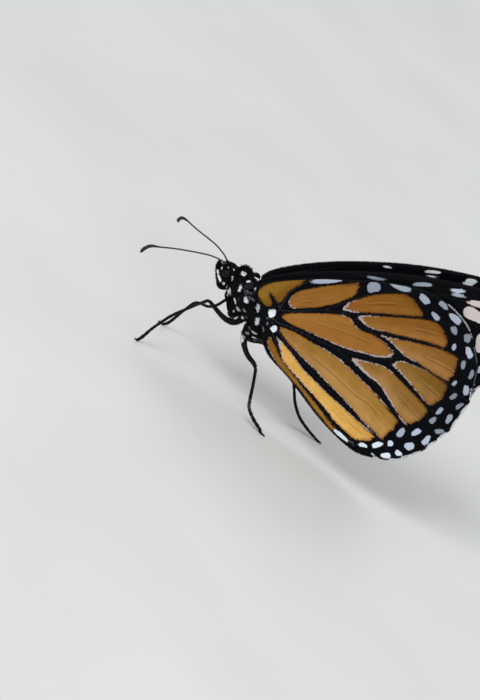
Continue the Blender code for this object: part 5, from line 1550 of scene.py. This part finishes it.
for name, pts in LEGS.items():
    seed = sum(ord(ch) for ch in name)
    rng = np.random.default_rng(seed)
    knee_i, ankle_i = BENDS[name]
    fine = catmull(pts, 16)
    s_all = np.r_[0, np.cumsum(np.linalg.norm(np.diff(fine[:, :3], axis=0), axis=1))]
    s_knee, s_ankle = s_all[16 * knee_i], s_all[16 * ankle_i]
    total = s_all[-1]
    fore_leg = name.startswith("foreleg")
    start = s_all[16 * 2] * 0.75
    s = np.arange(start, total, 0.09)
    c = np.stack([np.interp(s, s_all, fine[:, k]) for k in range(4)], 1)
    rad = c[:, 3] * (0.80 if fore_leg else 0.86)
    joints = [s_knee, s_ankle] + [s_ankle + (total - s_ankle) * k for k in (0.42, 0.60, 0.74, 0.87)] if not fore_leg else [s_knee]
    for j in joints:
        rad = rad * (1 - 0.34 * np.exp(-((s - j) / 0.11) ** 2)) * (1 + 0.08 * np.exp(-((s - j + 0.30) / 0.20) ** 2))
    rad = rad * np.where(s > s_ankle, 1.0, 1.0) * (1 + 0.12 * (1 - ease((s - s_knee + 1.5) / 1.5)) * (not fore_leg))
    rad[-3:] *= (0.92, 0.78, 0.5)
    if not fore_leg:
        rad = np.where(c[:, 2] < FOOT_Z + 0.02, np.minimum(rad, FOOT_Z), rad)
    v, f = ringed(c[:, :3], rad, 16, floor=None if fore_leg else 0.004)
    pieces = [(v, f)]
    ahead = unit(np.gradient(c[:, :3], axis=0))
    for i in range(len(s)):
        if s[i] < s_knee + 0.4 or fore_leg or i % 4:
            continue
        sideways = unit(np.cross(ahead[i], (0, 0.3, 1.0)))
        upward = np.cross(sideways, ahead[i])
        for q in (0.7, 2.4, 3.9, 5.4):
            q += rng.uniform(-0.3, 0.3)
            out = sideways * math.cos(q) + upward * math.sin(q)
            at = c[i, :3] + out * rad[i] * 0.9
            size = rng.uniform(0.16, 0.26)
            if at[2] > 0.16 and at[2] + min(0.0, out[2] * 0.75 + ahead[i][2] * 0.9) * size > 0.05:
                pieces.append(spine(at, out, ahead[i], size, 0.028))
    v, f = gather(pieces)
    ob = make_object(f"{name}_shell", v, f, data={"white": strokes_white(v, LEG_MARKS_AND_HIGHLIGHTS.get(name, ()), 0.08)})
    outward(ob)
    finish_piece(ob, LEG, "leg", name)

    if not fore_leg:
        end = c[-1, :3]
        along = unit(ahead[-2] * (1, 1, 0))
        sideways = np.cross(along, (0, 0, 1.0))
        bits = [claw(end - along * 0.06, along, sideways, k) for k in (-1, 1)]
        bits = [(np.stack([b[:, 0], b[:, 1], np.maximum(b[:, 2], 0.012)], 1), g) for b, g in bits]
        pv, pf = ball(tuple(end + along * 0.10 - np.array((0, 0, 0.09))), (0.13, 0.12, 0.07), 16, 10)
        bits.append((np.stack([pv[:, 0], pv[:, 1], np.maximum(pv[:, 2], 0.006)], 1), pf))
        v, f = gather(bits)
        ob = make_object(f"{name}_claws", v, f)
        outward(ob)
        finish_piece(ob, CLAW, "leg")

    # flat scales along the leg, longer hairs on the upper part
    count = 2600 if not fore_leg else 2200
    at = rng.uniform(0, 1, count) ** 0.9
    si = start + (total - start - 0.25) * at
    cc = np.stack([np.interp(si, s, c[:, k]) for k in range(3)], 1)
    aa = unit(np.stack([np.interp(si, s, ahead[:, k]) for k in range(3)], 1))
    rr = np.interp(si, s, rad)
    ref = unit(np.cross(aa, (0.1, 0.3, 1.0)))
    up = np.cross(ref, aa)
    q = rng.uniform(0, 2 * np.pi, count)
    out = ref * np.cos(q)[:, None] + up * np.sin(q)[:, None]
    root = cc + out * (rr * 0.96)[:, None]
    thigh = np.clip(1 - (si - start) / max(s_knee - start, 0.1), 0, 1)
    length = rng.uniform(0.16, 0.26, count) + 0.22 * thigh * rng.random(count) + (0.14 * rng.random(count) if fore_leg else 0)
    keep = (root[:, 2] - 0.02 > 0.10) & (root[:, 2] + np.minimum(aa[:, 2] + 0.5 * out[:, 2], 0) * length > 0.05)
    white = strokes_white(root, LEG_MARKS_AND_HIGHLIGHTS.get(name, ()), 0.04)
    if fore_leg:
        white = 0.8 * (body_white(root) > 0.3) * (si < s_knee * 0.6)
    uv = np.stack([0.01 + 0.98 * (si - start) / (total - start), 0.01 + 0.98 * q / (2 * np.pi)], 1)
    tufts(f"{name}_coat", root[keep], out[keep], aa[keep], length[keep], (rng.uniform(0.06, 0.10, count) * np.where(white > 0.2, 1.9, 1.0))[keep],
          rng.uniform(0.08, 0.26, count)[keep] + 0.35 * thigh[keep] * rng.random(count)[keep], white[keep],
          rng.random(count)[keep], uv[keep], LEG_SCALES, "leg")

# ---- hair at the wing roots --------------------------------------------------
for side, sign in (("left", -1), ("right", 1)):
    rng = np.random.default_rng(31)
    n = 9000
    p = np.stack([rng.uniform(-4.6, 7.0, n), rng.uniform(12.5, 24.5, n)], 1)
    rim_d = to_segments(p, hind_net[:hind_rim], True)
    ok = within(p, hind_net[:hind_rim]) & (rim_d > 0.15)
    p = p[ok]
    field = wing_fields(p, HINDWING_CELLS, HINDWING_MARKS, HINDWING_VEINS, (), 0.0, 0.0)
    hinge = np.hypot((p[:, 0] + 0.8) / 1.15, p[:, 1] - 17.6)
    ok = (field["cell"] < -0.05) & (hinge < 5.2) & (rng.random(len(p)) < np.clip(1.5 - hinge / 4.6, 0.12, 1))
    p, hinge = p[ok], hinge[ok]
    spot = field["spot"][ok]
    k = len(p)
    mid = np.interp(np.arange(k), np.arange(k), HINDWING_Y + lean(p[:, 0], p[:, 1]))
    root = np.stack([p[:, 0], sign * (mid + 0.12), p[:, 1]], 1)
    away = unit(p - (-3.0, 18.2))
    lay = np.stack([away[:, 0], 0 * hinge, away[:, 1] - 0.15], 1)
    white = np.where(spot > -0.02, field["spot_tone"][ok], 0.0)
    length = rng.uniform(0.30, 0.60, k) * np.clip(1.35 - hinge / 6.5, 0.5, 1.2)
    length = np.where(white > 0.2, length * 0.7, length)
    uv = np.stack([(p[:, 0] + 4.6) / 11.6, (p[:, 1] - 12.5) / 12.0], 1)
    tufts(f"wing_root_{side}_coat", root, np.tile((0.0, float(sign), 0.0), (k, 1)), lay, length,
          rng.uniform(0.10, 0.16, k), rng.uniform(0.08, 0.30, k), white, rng.random(k), uv, FUR, "wing", thick=0.3)

# ---- stage, light, camera ----------------------------------------------------
bpy.ops.mesh.primitive_plane_add(size=8.0, location=(0, 0, 0))
floor = bpy.context.object
floor.name = "floor"
g = Graph("floor_paper")
grain = g.noise(60.0, 3.0, 0.5)
g.set(Base_Color=g.mix(g.span(grain, 0.3, 0.7), (0.68, 0.68, 0.67, 1.0), (0.72, 0.72, 0.71, 1.0)), Roughness=0.9,
      Specular_IOR_Level=0.1)
floor.data.materials.append(g.mat)

world = bpy.data.worlds.new("studio")
bpy.context.scene.world = world
world.use_nodes = True
world.node_tree.nodes["Background"].inputs[0].default_value = (0.93, 0.96, 1.0, 1.0)
world.node_tree.nodes["Background"].inputs[1].default_value = 0.58


def lamp(name, at, aim, size, watts, colour=(1, 1, 1)):
    data = bpy.data.lights.new(name, 'AREA')
    data.shape, data.size, data.energy, data.color = 'DISK', size, watts, colour
    ob = bpy.data.objects.new(name, data)
    bpy.context.scene.collection.objects.link(ob)
    ob.location = at
    ob.rotation_mode = 'QUATERNION'
    ob.rotation_quaternion = (Vector(aim) - Vector(at)).to_track_quat('-Z', 'Y')


lamp("key", (-0.30, -0.45, 0.62), (0, 0, 0.02), 0.45, 2.95, (1.0, 0.98, 0.95))
lamp("fill", (0.55, -0.50, 0.30), (0, 0, 0.02), 0.50, 1.0, (0.95, 0.97, 1.0))
lamp("back", (0.10, 0.55, 0.60), (0, 0, 0.02), 0.40, 1.3)

# The lens looks down by 20 degrees and is rolled by 37.
down, roll = math.radians(20), math.radians(37)
fwd = Vector((0, math.cos(down), -math.sin(down)))
right0, up0 = Vector((1, 0, 0)), Vector((0, math.sin(down), math.cos(down)))
right = right0 * math.cos(roll) + up0 * math.sin(roll)
upv = -right0 * math.sin(roll) + up0 * math.cos(roll)
shoulder = Vector((0.0, -2.95, 16.6))
at = shoulder - fwd * 600.0 - right * 4.459 - upv * 5.71
cam_data = bpy.data.cameras.new("camera")
cam_data.sensor_width, cam_data.lens = 36.0, 173.0
cam_data.clip_start, cam_data.clip_end = 0.05, 20.0
cam = bpy.data.objects.new("camera", cam_data)
bpy.context.scene.collection.objects.link(cam)
m = Matrix((right, upv, -fwd)).transposed().to_4x4()
m.translation = (at + Vector(SHIFT)) * MM
cam.matrix_world = m
bpy.context.scene.camera = cam
bpy.context.scene.view_settings.view_transform = 'Standard'
